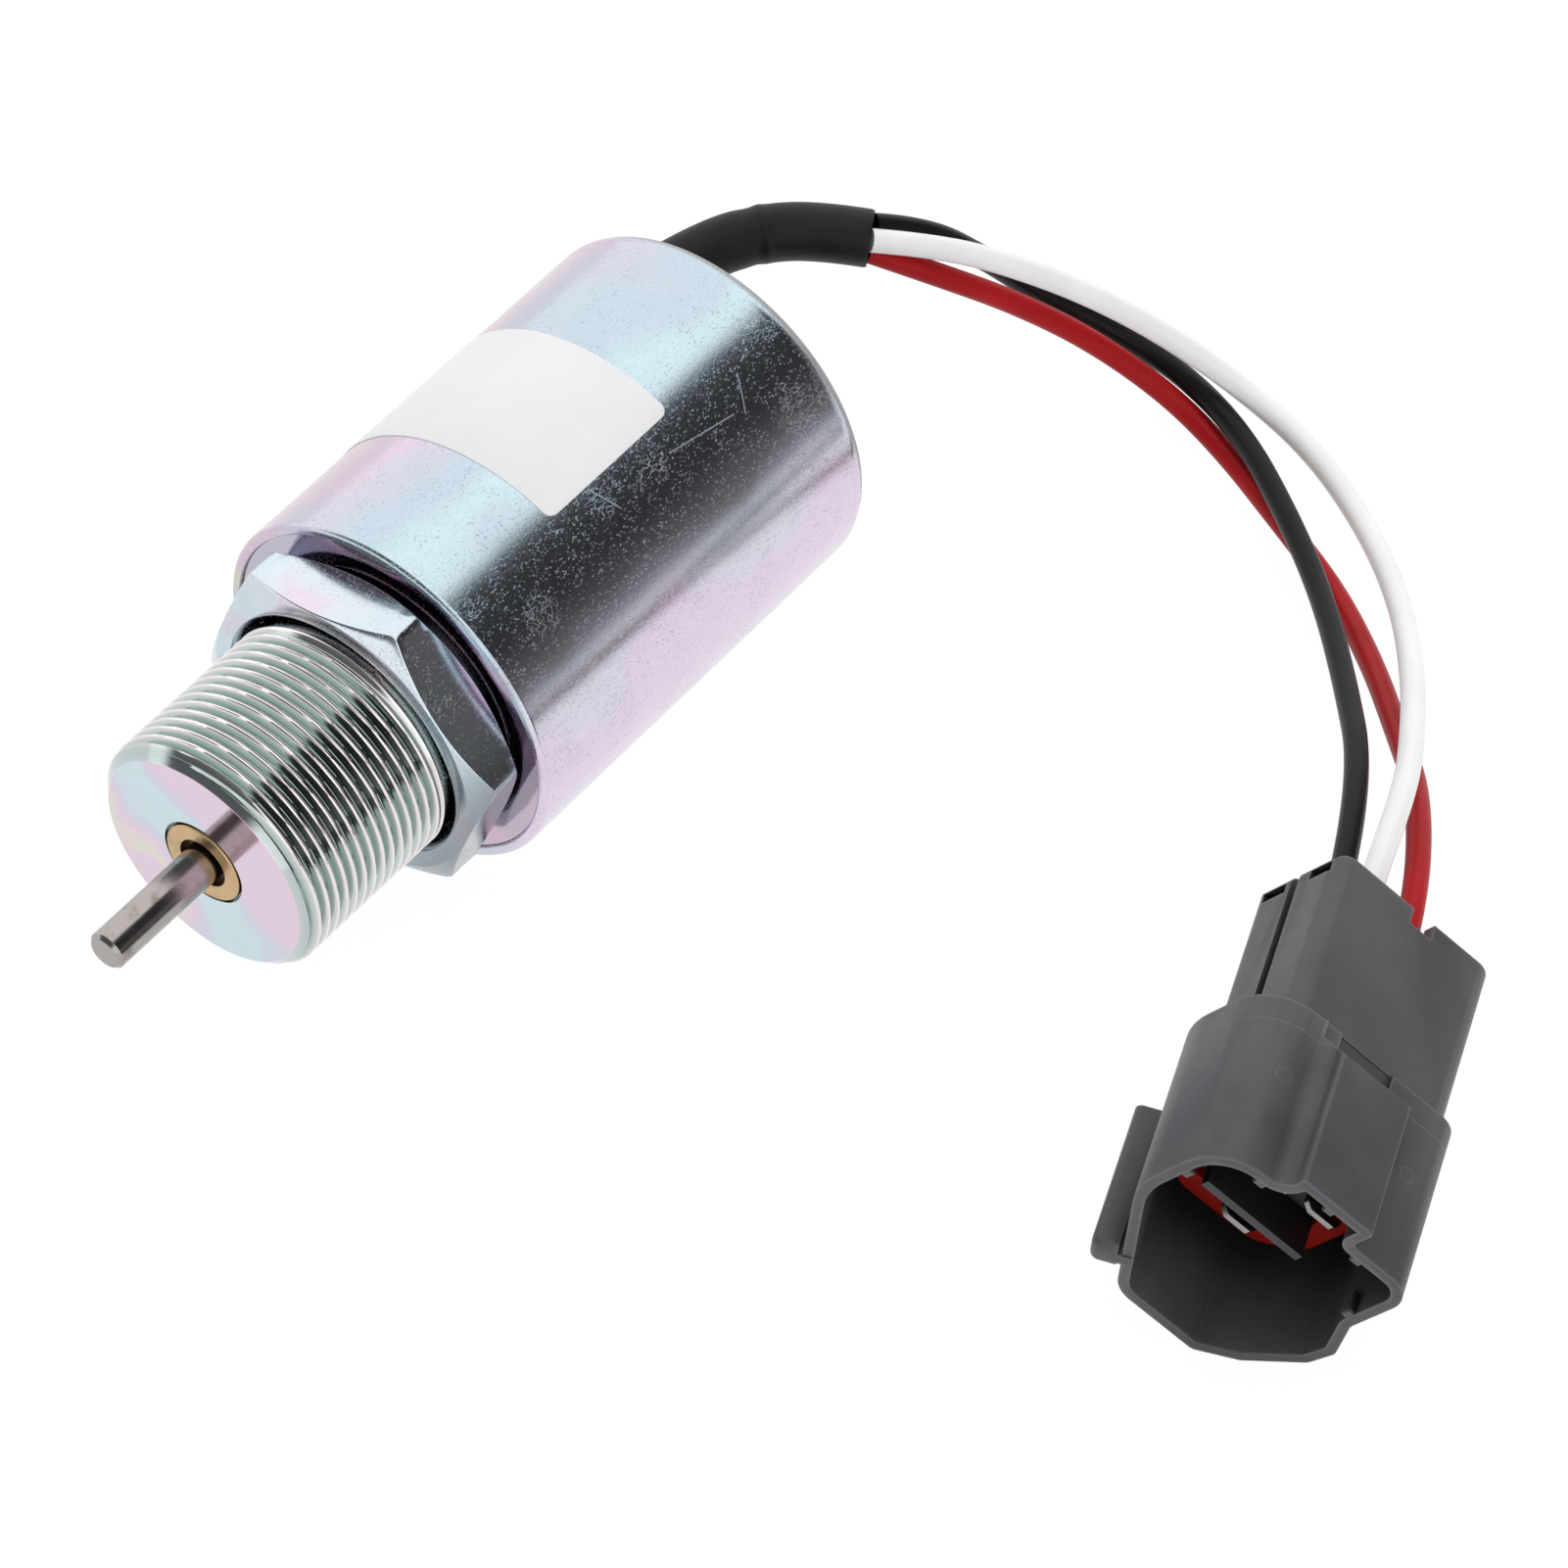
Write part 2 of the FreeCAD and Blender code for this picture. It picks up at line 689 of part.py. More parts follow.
def shroud_corners():
    """The shroud's outline: a key on top, a wide right side and bevels below."""
    roll = math.radians(PLUG_ROLL)
    rest_u = BEVEL_U + BEVEL_LENGTH * math.cos(roll)
    rest_v = BOTTOM_V - BEVEL_LENGTH * math.sin(roll)
    return [
        (-KEY_HALF, TOP_V, KEY_FILLET),
        (-KEY_HALF, TOP_V - KEY_RISE, 0.5),
        (KEY_HALF, TOP_V - KEY_RISE, 0.5),
        (KEY_HALF, TOP_V, 0.6),
        (SIDE_U, TOP_V, 3.5),
        (SIDE_U, -1.5, 1.5),
        (FLARE_U, 3.4, 1.5),
        (FLARE_U - 0.4, 7.2, 2.0),
        (rest_u, rest_v, 1.2),
        (BEVEL_U, BOTTOM_V, 1.2),
        (LOW_LEFT_U, BOTTOM_V, 4.0),
        (LEFT_U, LEFT_V, 9.0),
        (LEFT_U, TOP_V, 6.0),
    ]


def prism(corners, s0, s1):
    """A section of the plug, extruded from s0 to s1."""
    face = Part.Face(rounded_wire(corners, in_section))
    face.translate(FreeCAD.Vector(0, 0, s0))
    return face.extrude(FreeCAD.Vector(0, 0, s1 - s0))


def inset(corners, wall, s0, s1):
    """The same section pulled in by a wall's thickness, extruded from s0 to s1."""
    face = Part.Face(rounded_wire(corners, in_section)).makeOffset2D(-wall)
    face.translate(FreeCAD.Vector(0, 0, s0))
    return face.extrude(FreeCAD.Vector(0, 0, s1 - s0))


def block(u0, u1, v0, v1, s0, s1):
    """A box in the plug's frame."""
    return Part.makeBox(u1 - u0, v1 - v0, s1 - s0, FreeCAD.Vector(u0, v0, s0))


def bore(u, v, r, s0, s1):
    """A cylinder along S in the plug's frame."""
    return Part.makeCylinder(r, s1 - s0, FreeCAD.Vector(u, v, s0))


def block_corners():
    """The outline of the plug's rear block."""
    return [
        (BLOCK_LEFT, BLOCK_TOP, 2.2),
        (BLOCK_RIGHT, BLOCK_TOP, 2.6),
        (BLOCK_RIGHT, BLOCK_SIDE, 2.5),
        (BLOCK_RIGHT - BLOCK_BEVEL, BLOCK_BOTTOM, 2.5),
        (BLOCK_LEFT + BLOCK_BEVEL, BLOCK_BOTTOM, 2.5),
        (BLOCK_LEFT, BLOCK_SIDE, 2.5),
    ]


def rear_block():
    """The block that the wires go into, its rear end rounded at both sides."""
    def seen_from_above(u, s):
        return FreeCAD.Vector(u, BLOCK_TOP - 1, s)

    plan = rounded_wire([
        (BLOCK_LEFT, SHROUD_LENGTH, 0),
        (BLOCK_RIGHT, SHROUD_LENGTH, 0),
        (BLOCK_RIGHT, PLUG_REAR, BLOCK_END_ROUND),
        (BLOCK_LEFT, PLUG_REAR, BLOCK_END_ROUND),
    ], seen_from_above)
    ends = Part.Face(plan).extrude(FreeCAD.Vector(0, BLOCK_BOTTOM - BLOCK_TOP + 2, 0))
    return prism(block_corners(), SHROUD_LENGTH, PLUG_REAR).common(ends)


def plug_rail():
    """The rail that stands off the lower left bevel on a narrow web."""
    along = math.atan2(BOTTOM_V - LEFT_V, LOW_LEFT_U - LEFT_U)
    top = RAIL_STAND_OFF + RAIL_THICKNESS
    half = RAIL_WIDTH / 2
    rail = Part.makeBox(RAIL_WIDTH, RAIL_THICKNESS, RAIL_LENGTH, FreeCAD.Vector(-half, RAIL_STAND_OFF, 0))
    lengthwise = [e for e in rail.Edges if abs(e.Length - RAIL_LENGTH) < 1e-6 and e.BoundBox.YMin > top - 0.01]
    rail = rail.makeFillet(0.9, lengthwise)
    front = [e for e in rail.Edges if e.BoundBox.ZMax < 0.01 and e.BoundBox.XLength < 0.01]
    rail = rail.makeFillet(RAIL_END_ROUND, front)
    web = Part.makeBox(RAIL_WEB, top, RAIL_LENGTH, FreeCAD.Vector(-RAIL_WEB / 2, -1.0, 0))
    joined = rail.fuse(web)
    joined.rotate(FreeCAD.Vector(0, 0, 0), FreeCAD.Vector(0, 0, 1), math.degrees(along))
    foot_u = LOW_LEFT_U - RAIL_ALONG_BEVEL * math.cos(along)
    foot_v = BOTTOM_V - RAIL_ALONG_BEVEL * math.sin(along)
    joined.translate(FreeCAD.Vector(foot_u, foot_v, RAIL_START))
    return joined


def key_end_wedge():
    """What is cut off the key's rear end, where it slopes down to the roof."""
    above = TOP_V - KEY_RISE - 1
    corners = [(above, KEY_LENGTH - KEY_SLOPE / KEY_RISE), (above, SHROUD_LENGTH), (TOP_V, SHROUD_LENGTH)]
    corners.append((TOP_V, KEY_LENGTH + KEY_SLOPE))
    points = [FreeCAD.Vector(-KEY_HALF - 1, v, s) for v, s in corners]
    return Part.Face(Part.makePolygon(points + points[:1])).extrude(FreeCAD.Vector(2 * KEY_HALF + 2, 0, 0))


def make_connector_housing():
    """The plug's moulded housing: an open shroud in front and the wires' block behind."""
    outline = shroud_corners()
    body = prism(outline, 0, SHROUD_LENGTH).fuse(rear_block())
    body = body.fuse(plug_rail())
    cavity = inset(outline, PLUG_WALL, 0, SHROUD_FLOOR_FACE)
    body = body.cut(cavity)
    key_half = KEY_HALF - PLUG_WALL
    window = block(-key_half, key_half, TOP_V - KEY_RISE + PLUG_WALL, TOP_V + 0.6, 0, SHROUD_LENGTH)
    body = body.cut(window)
    body = body.cut(key_end_wedge())
    core = block(CORE_LEFT, CORE_RIGHT, CORE_TOP, CORE_BOTTOM, CORE_FRONT, SHROUD_FLOOR_FACE)
    body = body.fuse(core)
    tongue = block(
        -TONGUE_HALF, TONGUE_HALF, TONGUE_V, TONGUE_V + TONGUE_THICKNESS, TONGUE_FRONT, SHROUD_FLOOR_FACE
    )
    body = body.fuse(tongue)
    pocket = inset(block_corners(), REAR_WALL, PLUG_REAR - REAR_POCKET, PLUG_REAR)
    body = body.cut(pocket)
    notch = block(NOTCH_LEFT, NOTCH_RIGHT, BLOCK_TOP - 1, BLOCK_TOP + 3, PLUG_REAR - NOTCH_DEPTH, PLUG_REAR)
    body = body.cut(notch)
    groove = block(
        BLOCK_LEFT - 1, BLOCK_LEFT + GROOVE_DEPTH, GROOVE_V, GROOVE_V + GROOVE_WIDTH, SHROUD_LENGTH, PLUG_REAR
    )
    body = body.cut(groove)
    for v0, v1 in ((-9.4, -6.2), (-2.4, 1.2)):
        slot = block(BLOCK_LEFT - 1, BLOCK_LEFT + SLOT_DEPTH, v0, v1, PLUG_REAR - 2.2, PLUG_REAR - 2.2 + SLOT_LENGTH)
        body = body.cut(slot)
    for colour, u, v in TERMINALS.values():
        body = body.cut(bore(u, v, BORE_R, WIRE_END - CRIMP_LENGTH, PLUG_REAR))
        passage = block(
            u - TAB_HALF - 0.1, u + TAB_HALF + 0.1, v - 0.55, v + 0.55, CORE_FRONT, WIRE_END
        )
        body = body.cut(passage)
    return placed(body.removeSplitter())


def make_terminal(u, v):
    """A tin-plated tab with a chamfered tip, and the crimp that holds the wire."""
    crimp_front = WIRE_END - CRIMP_LENGTH + 0.3
    half = TAB_THICKNESS / 2
    points = [
        (-TAB_HALF, crimp_front + 1.0),
        (-TAB_HALF, TAB_FRONT + TAB_CHAMFER),
        (-TAB_HALF + TAB_CHAMFER, TAB_FRONT),
        (TAB_HALF - TAB_CHAMFER, TAB_FRONT),
        (TAB_HALF, TAB_FRONT + TAB_CHAMFER),
        (TAB_HALF, crimp_front + 1.0),
    ]
    outline = [FreeCAD.Vector(u + a, v - half, s) for a, s in points]
    tab = Part.Face(Part.makePolygon(outline + outline[:1])).extrude(FreeCAD.Vector(0, TAB_THICKNESS, 0))
    crimp = bore(u, v, CRIMP_R, crimp_front, WIRE_END)
    return placed(tab.fuse(crimp).removeSplitter())


def make_wire_seals():
    """The soft seals on the wires, in the housing's rear bores."""
    front = PLUG_REAR - REAR_POCKET - WIRE_SEAL_LENGTH - 0.1
    seals = []
    for colour, u, v in TERMINALS.values():
        outer = bore(u, v, SEAL_OUTER_R, front, front + WIRE_SEAL_LENGTH)
        seals.append(outer.cut(bore(u, v, WIRE_R + 0.12, front, front + WIRE_SEAL_LENGTH)))
    return placed(Part.makeCompound(seals))


def make_wire_retainer():
    """The pale plate in the rear pocket, with a hole for each wire."""
    front = PLUG_REAR - REAR_POCKET + 0.05
    plate = inset(block_corners(), REAR_WALL + 0.05, front, front + RETAINER_THICKNESS)
    for colour, u, v in TERMINALS.values():
        plate = plate.cut(bore(u, v, WIRE_HOLE_R, front - 1, front + RETAINER_THICKNESS + 1))
    return placed(plate)


def make_terminal_lock():
    """The red collar round the core that carries the tabs."""
    border = LOCK_BORDER
    left = CORE_LEFT - LOCK_LEFT_BORDER
    right = CORE_RIGHT + border
    corners = [
        (left, CORE_TOP - 0.6, 2.0),
        (right, CORE_TOP - 0.6, 2.0),
        (right, CORE_BOTTOM - 1.0, 3.5),
        (right - 4.2, CORE_BOTTOM + border, 3.5),
        (left + 4.2, CORE_BOTTOM + border, 3.5),
        (left, CORE_BOTTOM - 1.0, 3.5),
    ]
    back = LOCK_DEPTH + LOCK_THICKNESS
    plate = prism(corners, LOCK_DEPTH, back)
    gap = LOCK_CLEARANCE
    window = block(CORE_LEFT - gap, CORE_RIGHT + gap, CORE_TOP - gap, CORE_BOTTOM + gap, LOCK_DEPTH, back)
    plate = plate.cut(window)
    tongue = block(
        -TONGUE_HALF - gap, TONGUE_HALF + gap, TONGUE_V - gap, TONGUE_V + TONGUE_THICKNESS + gap, LOCK_DEPTH, back
    )
    return placed(plate.cut(tongue))


def write(name, shape):
    """Checks a node's shape and writes it to parts."""
    if not shape.isValid():
        print(f"{name}: not valid")
    shape.exportStep(f"parts/{name}.step")


os.makedirs("parts", exist_ok=True)
grommet = make_wire_grommet()
sleeve = tube_along(sleeve_points(), SLEEVE_R, "shrink_sleeve", grommet)
nodes = {
    "can_shell": make_can_shell(),
    "threaded_nose": make_threaded_nose(),
    "lock_nut": make_lock_nut(),
    "guide_bushing": make_guide_bushing(),
    "rod_seal": make_rod_seal(),
    "push_rod": make_push_rod(),
    "plunger_core": make_plunger_core(),
    "return_spring": make_return_spring(),
    "pole_piece": make_pole_piece(),
    "pole_cushion": make_pole_cushion(),
    "rest_washer": make_rest_washer(),
    "guide_tube": make_guide_tube(),
    "bobbin": make_bobbin(),
    "pull_winding": make_winding(BOBBIN_HUB_R + FIT_GAP, PULL_WINDING_R),
    "hold_winding": make_winding(PULL_WINDING_R + FIT_GAP, HOLD_WINDING_R),
    "winding_wrap": make_winding(HOLD_WINDING_R + FIT_GAP, HOLD_WINDING_R + FIT_GAP + WRAP),
    "flux_plate": make_flux_plate(),
    "rear_cover": make_rear_cover(),
    "wire_grommet": grommet,
    "label": make_label(),
    "shrink_sleeve": sleeve,
    "connector_housing": make_connector_housing(),
    "terminal_lock": make_terminal_lock(),
    "wire_seals": make_wire_seals(),
    "wire_retainer": make_wire_retainer(),
}
for place, (colour, u, v) in TERMINALS.items():
    nodes[f"terminal_{place}"] = make_terminal(u, v)
    nodes[f"wire_{colour}"] = tube_along(wire_points(colour), WIRE_R, f"wire_{colour}", sleeve)
for name, shape in nodes.items():
    write(name, shape)
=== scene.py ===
import bmesh
import bpy
import math
import numpy as np
from mathutils import Matrix, Vector


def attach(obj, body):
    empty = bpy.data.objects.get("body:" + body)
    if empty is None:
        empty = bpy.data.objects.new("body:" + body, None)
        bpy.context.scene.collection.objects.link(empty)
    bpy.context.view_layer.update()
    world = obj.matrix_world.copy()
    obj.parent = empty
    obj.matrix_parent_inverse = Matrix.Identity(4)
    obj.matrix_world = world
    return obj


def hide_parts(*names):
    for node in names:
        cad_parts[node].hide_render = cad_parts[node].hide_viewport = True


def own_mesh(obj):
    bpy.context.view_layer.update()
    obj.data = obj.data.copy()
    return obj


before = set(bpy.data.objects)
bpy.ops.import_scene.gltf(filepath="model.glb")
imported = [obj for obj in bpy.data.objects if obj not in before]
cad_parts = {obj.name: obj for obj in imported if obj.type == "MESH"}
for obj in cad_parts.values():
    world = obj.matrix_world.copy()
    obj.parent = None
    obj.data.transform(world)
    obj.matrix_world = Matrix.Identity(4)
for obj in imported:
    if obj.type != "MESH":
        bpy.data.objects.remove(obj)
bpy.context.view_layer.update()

# Sizes are written in millimetres, as in the part's source, and MM turns them to metres. Angles are in
# degrees. Only the wires' lengths are in metres.
MM = 0.001
SEGMENTS = 240


# Camera

CAMERA_PLACE = (-375.0, -355.4, 599.2)
CAMERA_RIGHT = (0.61767, -0.78643, 0.0)
CAMERA_AHEAD = (0.50828, 0.39921, -0.76308)
SENSOR_WIDTH = 36.0
FOCAL_LENGTH_PX = 7451.0
PHOTO_WIDTH_PX = 1601.0
NEAREST_SEEN = 50.0
FARTHEST_SEEN = 20000.0


def make_camera():
    """The camera at the photograph's viewing angle."""
    right = Vector(CAMERA_RIGHT).normalized()
    ahead = Vector(CAMERA_AHEAD).normalized()
    up = right.cross(ahead).normalized()
    data = bpy.data.cameras.new("camera")
    data.sensor_width = SENSOR_WIDTH
    data.lens = FOCAL_LENGTH_PX / PHOTO_WIDTH_PX * SENSOR_WIDTH
    data.clip_start = NEAREST_SEEN * MM
    data.clip_end = FARTHEST_SEEN * MM
    camera = bpy.data.objects.new("camera", data)
    rotation = Matrix((right, up, -ahead)).transposed().to_4x4()
    camera.matrix_world = Matrix.Translation(Vector(CAMERA_PLACE) * MM) @ rotation
    bpy.context.scene.collection.objects.link(camera)
    bpy.context.scene.camera = camera


# Meshes

MERGE_DISTANCE = 0.001
SHARP_ANGLE = 50.0
FLAT_ANGLE = 0.6
EDGE_ANGLE = 28.0


def add_piece(name, mesh, body, slot, material, *nodes):
    """Puts a mesh in the scene as a piece that rides on a body and stands for the CAD nodes."""
    piece = bpy.data.objects.new(name, mesh)
    bpy.context.scene.collection.objects.link(piece)
    mesh.materials.append(material)
    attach(piece, body)
    if nodes:
        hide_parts(*nodes)
    return piece


def mesh_from_rings(name, rings, closed_along=False, caps=False):
    """A mesh from rings of points in millimetres, each ring closed, the rings joined one to the next."""
    rings = np.asarray(rings, float)
    count, around = rings.shape[:2]
    index = np.arange(count * around).reshape(count, around)
    last = count if closed_along else count - 1
    faces = []
    for i in range(last):
        here = index[i]
        there = index[(i + 1) % count]
        quads = np.stack([here, np.roll(here, -1), np.roll(there, -1), there], axis=1)
        faces.extend(quads.tolist())
    if caps:
        faces.append(index[0][::-1].tolist())
        faces.append(index[-1].tolist())
    mesh = bpy.data.meshes.new(name)
    mesh.from_pydata((rings.reshape(-1, 3) * MM).tolist(), [], faces)
    tidy_normals(mesh)
    return mesh


def tidy_normals(mesh):
    """Makes the faces point outwards and shade smoothly, except across sharp corners."""
    shape = bmesh.new()
    shape.from_mesh(mesh)
    bmesh.ops.remove_doubles(shape, verts=shape.verts, dist=MERGE_DISTANCE * MM)
    bmesh.ops.recalc_face_normals(shape, faces=shape.faces)
    shape.to_mesh(mesh)
    shape.free()
    mesh.shade_smooth()
    mesh.set_sharp_from_angle(angle=math.radians(SHARP_ANGLE))


def even_shading(piece):
    """Keeps flat faces flat beside their rounded edges."""
    modifier = piece.modifiers.new("even_shading", "WEIGHTED_NORMAL")
    modifier.keep_sharp = True
    modifier.weight = 100


def rounded(corners, steps=6):
    """An outline through (a, b, radius) corners, with each rounded corner as a short arc of points."""
    points = []
    count = len(corners)
    for i in range(count):
        a, b, radius = corners[i]
        here = np.array([a, b], float)
        if radius == 0:
            points.append(here)
            continue
        back = np.array(corners[i - 1][:2], float) - here
        ahead = np.array(corners[(i + 1) % count][:2], float) - here
        back /= np.linalg.norm(back)
        ahead /= np.linalg.norm(ahead)
        half = math.acos(max(-1.0, min(1.0, float(back @ ahead)))) / 2
        middle = back + ahead
        middle /= np.linalg.norm(middle)
        centre = here + middle * radius / math.sin(half)
        start = here + back * radius / math.tan(half) - centre
        end = here + ahead * radius / math.tan(half) - centre
        for k in range(steps + 1):
            t = k / steps
            spoke = start * (1 - t) + end * t
            points.append(centre + spoke / np.linalg.norm(spoke) * radius)
    return np.array(points)


def turned(name, corners, y=0.0, z=0.0, steps=6, segments=SEGMENTS):
    """A closed mesh turned about the X axis from (x, r, rounding) corners."""
    outline = rounded(corners, steps)
    angle = np.linspace(0, 2 * math.pi, segments, endpoint=False)
    rings = [
        np.stack([np.full(segments, x), y + r * np.cos(angle), z + r * np.sin(angle)], axis=1)
        for x, r in outline
    ]
    return mesh_from_rings(name, rings, closed_along=True)


def softened(node, name, width, slot, material):
    """A copy of a CAD node's mesh with clean flat faces and small rounded edges, in its place."""
    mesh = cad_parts[node].data.copy()
    mesh.name = name
    mesh.materials.clear()
    shape = bmesh.new()
    shape.from_mesh(mesh)
    bmesh.ops.remove_doubles(shape, verts=shape.verts, dist=MERGE_DISTANCE * MM)
    bmesh.ops.dissolve_limit(
        shape,
        angle_limit=math.radians(FLAT_ANGLE),
        verts=shape.verts,
        edges=shape.edges,
        use_dissolve_boundaries=False,
    )
    shape.to_mesh(mesh)
    shape.free()
    mesh.shade_smooth()
    piece = add_piece(name, mesh, "solenoid", slot, material, node)
    bevel = piece.modifiers.new("edges", "BEVEL")
    bevel.width = width * MM
    bevel.segments = 2
    bevel.limit_method = "ANGLE"
    bevel.angle_limit = math.radians(EDGE_ANGLE)
    bevel.harden_normals = True
    bevel.use_clamp_overlap = True
    return piece


# Materials

def new_material(name):
    """A new material with its node tree and its shader."""
    material = bpy.data.materials.new(name)
    material.use_nodes = True
    tree = material.node_tree
    shader = tree.nodes["Principled BSDF"]
    return material, tree, shader


def add_node(tree, kind, inputs=None, **settings):
    """A node with its settings, and its inputs set to values or joined to sockets."""
    node = tree.nodes.new(kind)
    for key, value in settings.items():
        setattr(node, key, value)
    for key, value in (inputs or {}).items():
        if isinstance(value, bpy.types.NodeSocket):
            tree.links.new(value, node.inputs[key])
        else:
            node.inputs[key].default_value = value
    return node


def ramp(tree, factor, stops, interpolation="EASE"):
    """A colour ramp from (position, colour) stops, where a plain number is a grey."""
    node = add_node(tree, "ShaderNodeValToRGB", {"Fac": factor})
    node.color_ramp.interpolation = interpolation
    elements = node.color_ramp.elements
    while len(elements) < len(stops):
        elements.new(0.5)
    for element, (position, colour) in zip(elements, stops):
        element.position = position
        element.color = (*colour, 1.0) if isinstance(colour, tuple) else (colour, colour, colour, 1.0)
    return node.outputs["Color"]


def math_node(tree, operation, a, b=0.0, clamp=False):
    """The result of one arithmetic step on values or sockets."""
    node = add_node(tree, "ShaderNodeMath", {0: a, 1: b}, operation=operation, use_clamp=clamp)
    return node.outputs[0]


def vector_math(tree, operation, a, b):
    """The result of one arithmetic step on two vectors, given as values or sockets."""
    node = add_node(tree, "ShaderNodeVectorMath", {0: a, 1: b}, operation=operation)
    return node.outputs["Value" if operation == "DOT_PRODUCT" else "Vector"]


def hypotenuse(tree, a, b):
    """The length of a line that runs a one way and b across it."""
    squares = math_node(tree, "ADD", math_node(tree, "POWER", a, 2.0), math_node(tree, "POWER", b, 2.0))
    return math_node(tree, "SQRT", squares)


def between(tree, value, low, high):
    """A value of 0 to 1 spread from low to high."""
    return add_node(tree, "ShaderNodeMapRange", {"Value": value, "To Min": low, "To Max": high}).outputs[0]


def mix_colour(tree, factor, a, b, blend="MIX"):
    """Two colours mixed."""
    node = add_node(tree, "ShaderNodeMix", data_type="RGBA", blend_type=blend)
    for key, value in ((0, factor), (6, a), (7, b)):
        if isinstance(value, bpy.types.NodeSocket):
            tree.links.new(value, node.inputs[key])
        else:
            node.inputs[key].default_value = (*value, 1.0) if isinstance(value, tuple) else value
    return node.outputs[2]


def place(tree):
    """The point on the piece in millimetres, as a vector and as x, y and z."""
    coordinates = add_node(tree, "ShaderNodeTexCoord")
    scaled = vector_math(tree, "MULTIPLY", coordinates.outputs["Object"], (1000.0, 1000.0, 1000.0))
    parts = add_node(tree, "ShaderNodeSeparateXYZ", {0: scaled})
    return scaled, parts.outputs[0], parts.outputs[1], parts.outputs[2]


def noise(tree, vector, scale, detail=2.0, roughness=0.5):
    """A noise value over the piece, its scale in cycles per millimetre."""
    inputs = {"Vector": vector, "Scale": scale, "Detail": detail, "Roughness": roughness}
    return add_node(tree, "ShaderNodeTexNoise", inputs).outputs["Fac"]


def bump(tree, height, strength, distance, normal=None):
    """A bump from a height value, its distance in millimetres."""
    inputs = {"Height": height, "Strength": strength, "Distance": distance * MM}
    if normal is not None:
        inputs["Normal"] = normal
    return add_node(tree, "ShaderNodeBump", inputs).outputs["Normal"]


def join(tree, shader, colour, roughness, normal):
    """Joins a colour, a roughness and a normal to the shader."""
    tree.links.new(colour, shader.inputs["Base Color"])
    tree.links.new(roughness, shader.inputs["Roughness"])
    tree.links.new(normal, shader.inputs["Normal"])


# Tints for the plating, set place by place round the can's axis. They are partly the plating's colours and
# partly painted reflection: the ice-blue tint near the top is a painted highlight, and the three low tints
# are brighter copies on the lower side, painted to stand for the floor's reflection.
CYAN = (0.48, 0.59, 0.66)
ICE_HIGHLIGHT = (0.54, 0.68, 0.73)
LILAC = (0.555, 0.55, 0.65)
PINK = (0.655, 0.525, 0.625)
STRAW = (0.64, 0.62, 0.52)
GREY = (0.46, 0.48, 0.53)
FLOOR_LIT_BLUE = (0.61, 0.63, 0.72)
FLOOR_LIT_LILAC = (0.69, 0.685, 0.78)
FLOOR_LIT_PINK = (0.76, 0.64, 0.79)

CAN_RADIUS = 22.4
LONG_MARKS = [
    ((41.1, 124.6), (50.7, 128.9)), ((52.0, 131.0), (54.5, 121.0)), ((30.5, 117.0), (32.0, 127.0)),
]
LONG_MARK_HALF_WIDTH = 0.07
SPECKS_PER_MM = 7.5
TURNS_PER_RADIAN = 0.15915


def scratches(tree, vector, turn, scale=0.9):
    """Thin broken scratches that run one way over the piece."""
    turned_vector = add_node(tree, "ShaderNodeMapping", {"Vector": vector, "Rotation": turn}).outputs[0]
    stretched = vector_math(tree, "MULTIPLY", turned_vector, (0.05, 1.0, 1.0))
    lines = noise(tree, stretched, scale, 1.0, 0.5)
    thin = ramp(tree, lines, [(0.492, 0), (0.5, 1), (0.508, 0)], "LINEAR")
    where = ramp(tree, noise(tree, vector, 0.11, 2.0, 0.5), [(0.56, 0), (0.64, 1)])
    return math_node(tree, "MULTIPLY", thin, where)


def long_mark(tree, x, angle, start, end):
    """One thin scratch on the can, between two places given as x and degrees round the axis."""
    arc = math_node(tree, "MULTIPLY", angle, CAN_RADIUS)
    spot = add_node(tree, "ShaderNodeCombineXYZ", {0: x, 1: arc, 2: 0.0}).outputs[0]
    first = Vector((start[0], math.radians(start[1]) * CAN_RADIUS, 0.0))
    last = Vector((end[0], math.radians(end[1]) * CAN_RADIUS, 0.0))
    run = (last - first).normalized()
    across = Vector((-run.y, run.x, 0.0))
    moved = vector_math(tree, "SUBTRACT", spot, tuple(first))
    along = vector_math(tree, "DOT_PRODUCT", moved, tuple(run))
    aside = vector_math(tree, "DOT_PRODUCT", moved, tuple(across))
    near = math_node(tree, "LESS_THAN", math_node(tree, "ABSOLUTE", aside), LONG_MARK_HALF_WIDTH)
    inside = math_node(tree, "LESS_THAN", along, (last - first).length)
    begun = math_node(tree, "GREATER_THAN", along, 0.0)
    return math_node(tree, "MULTIPLY", near, math_node(tree, "MULTIPLY", inside, begun))


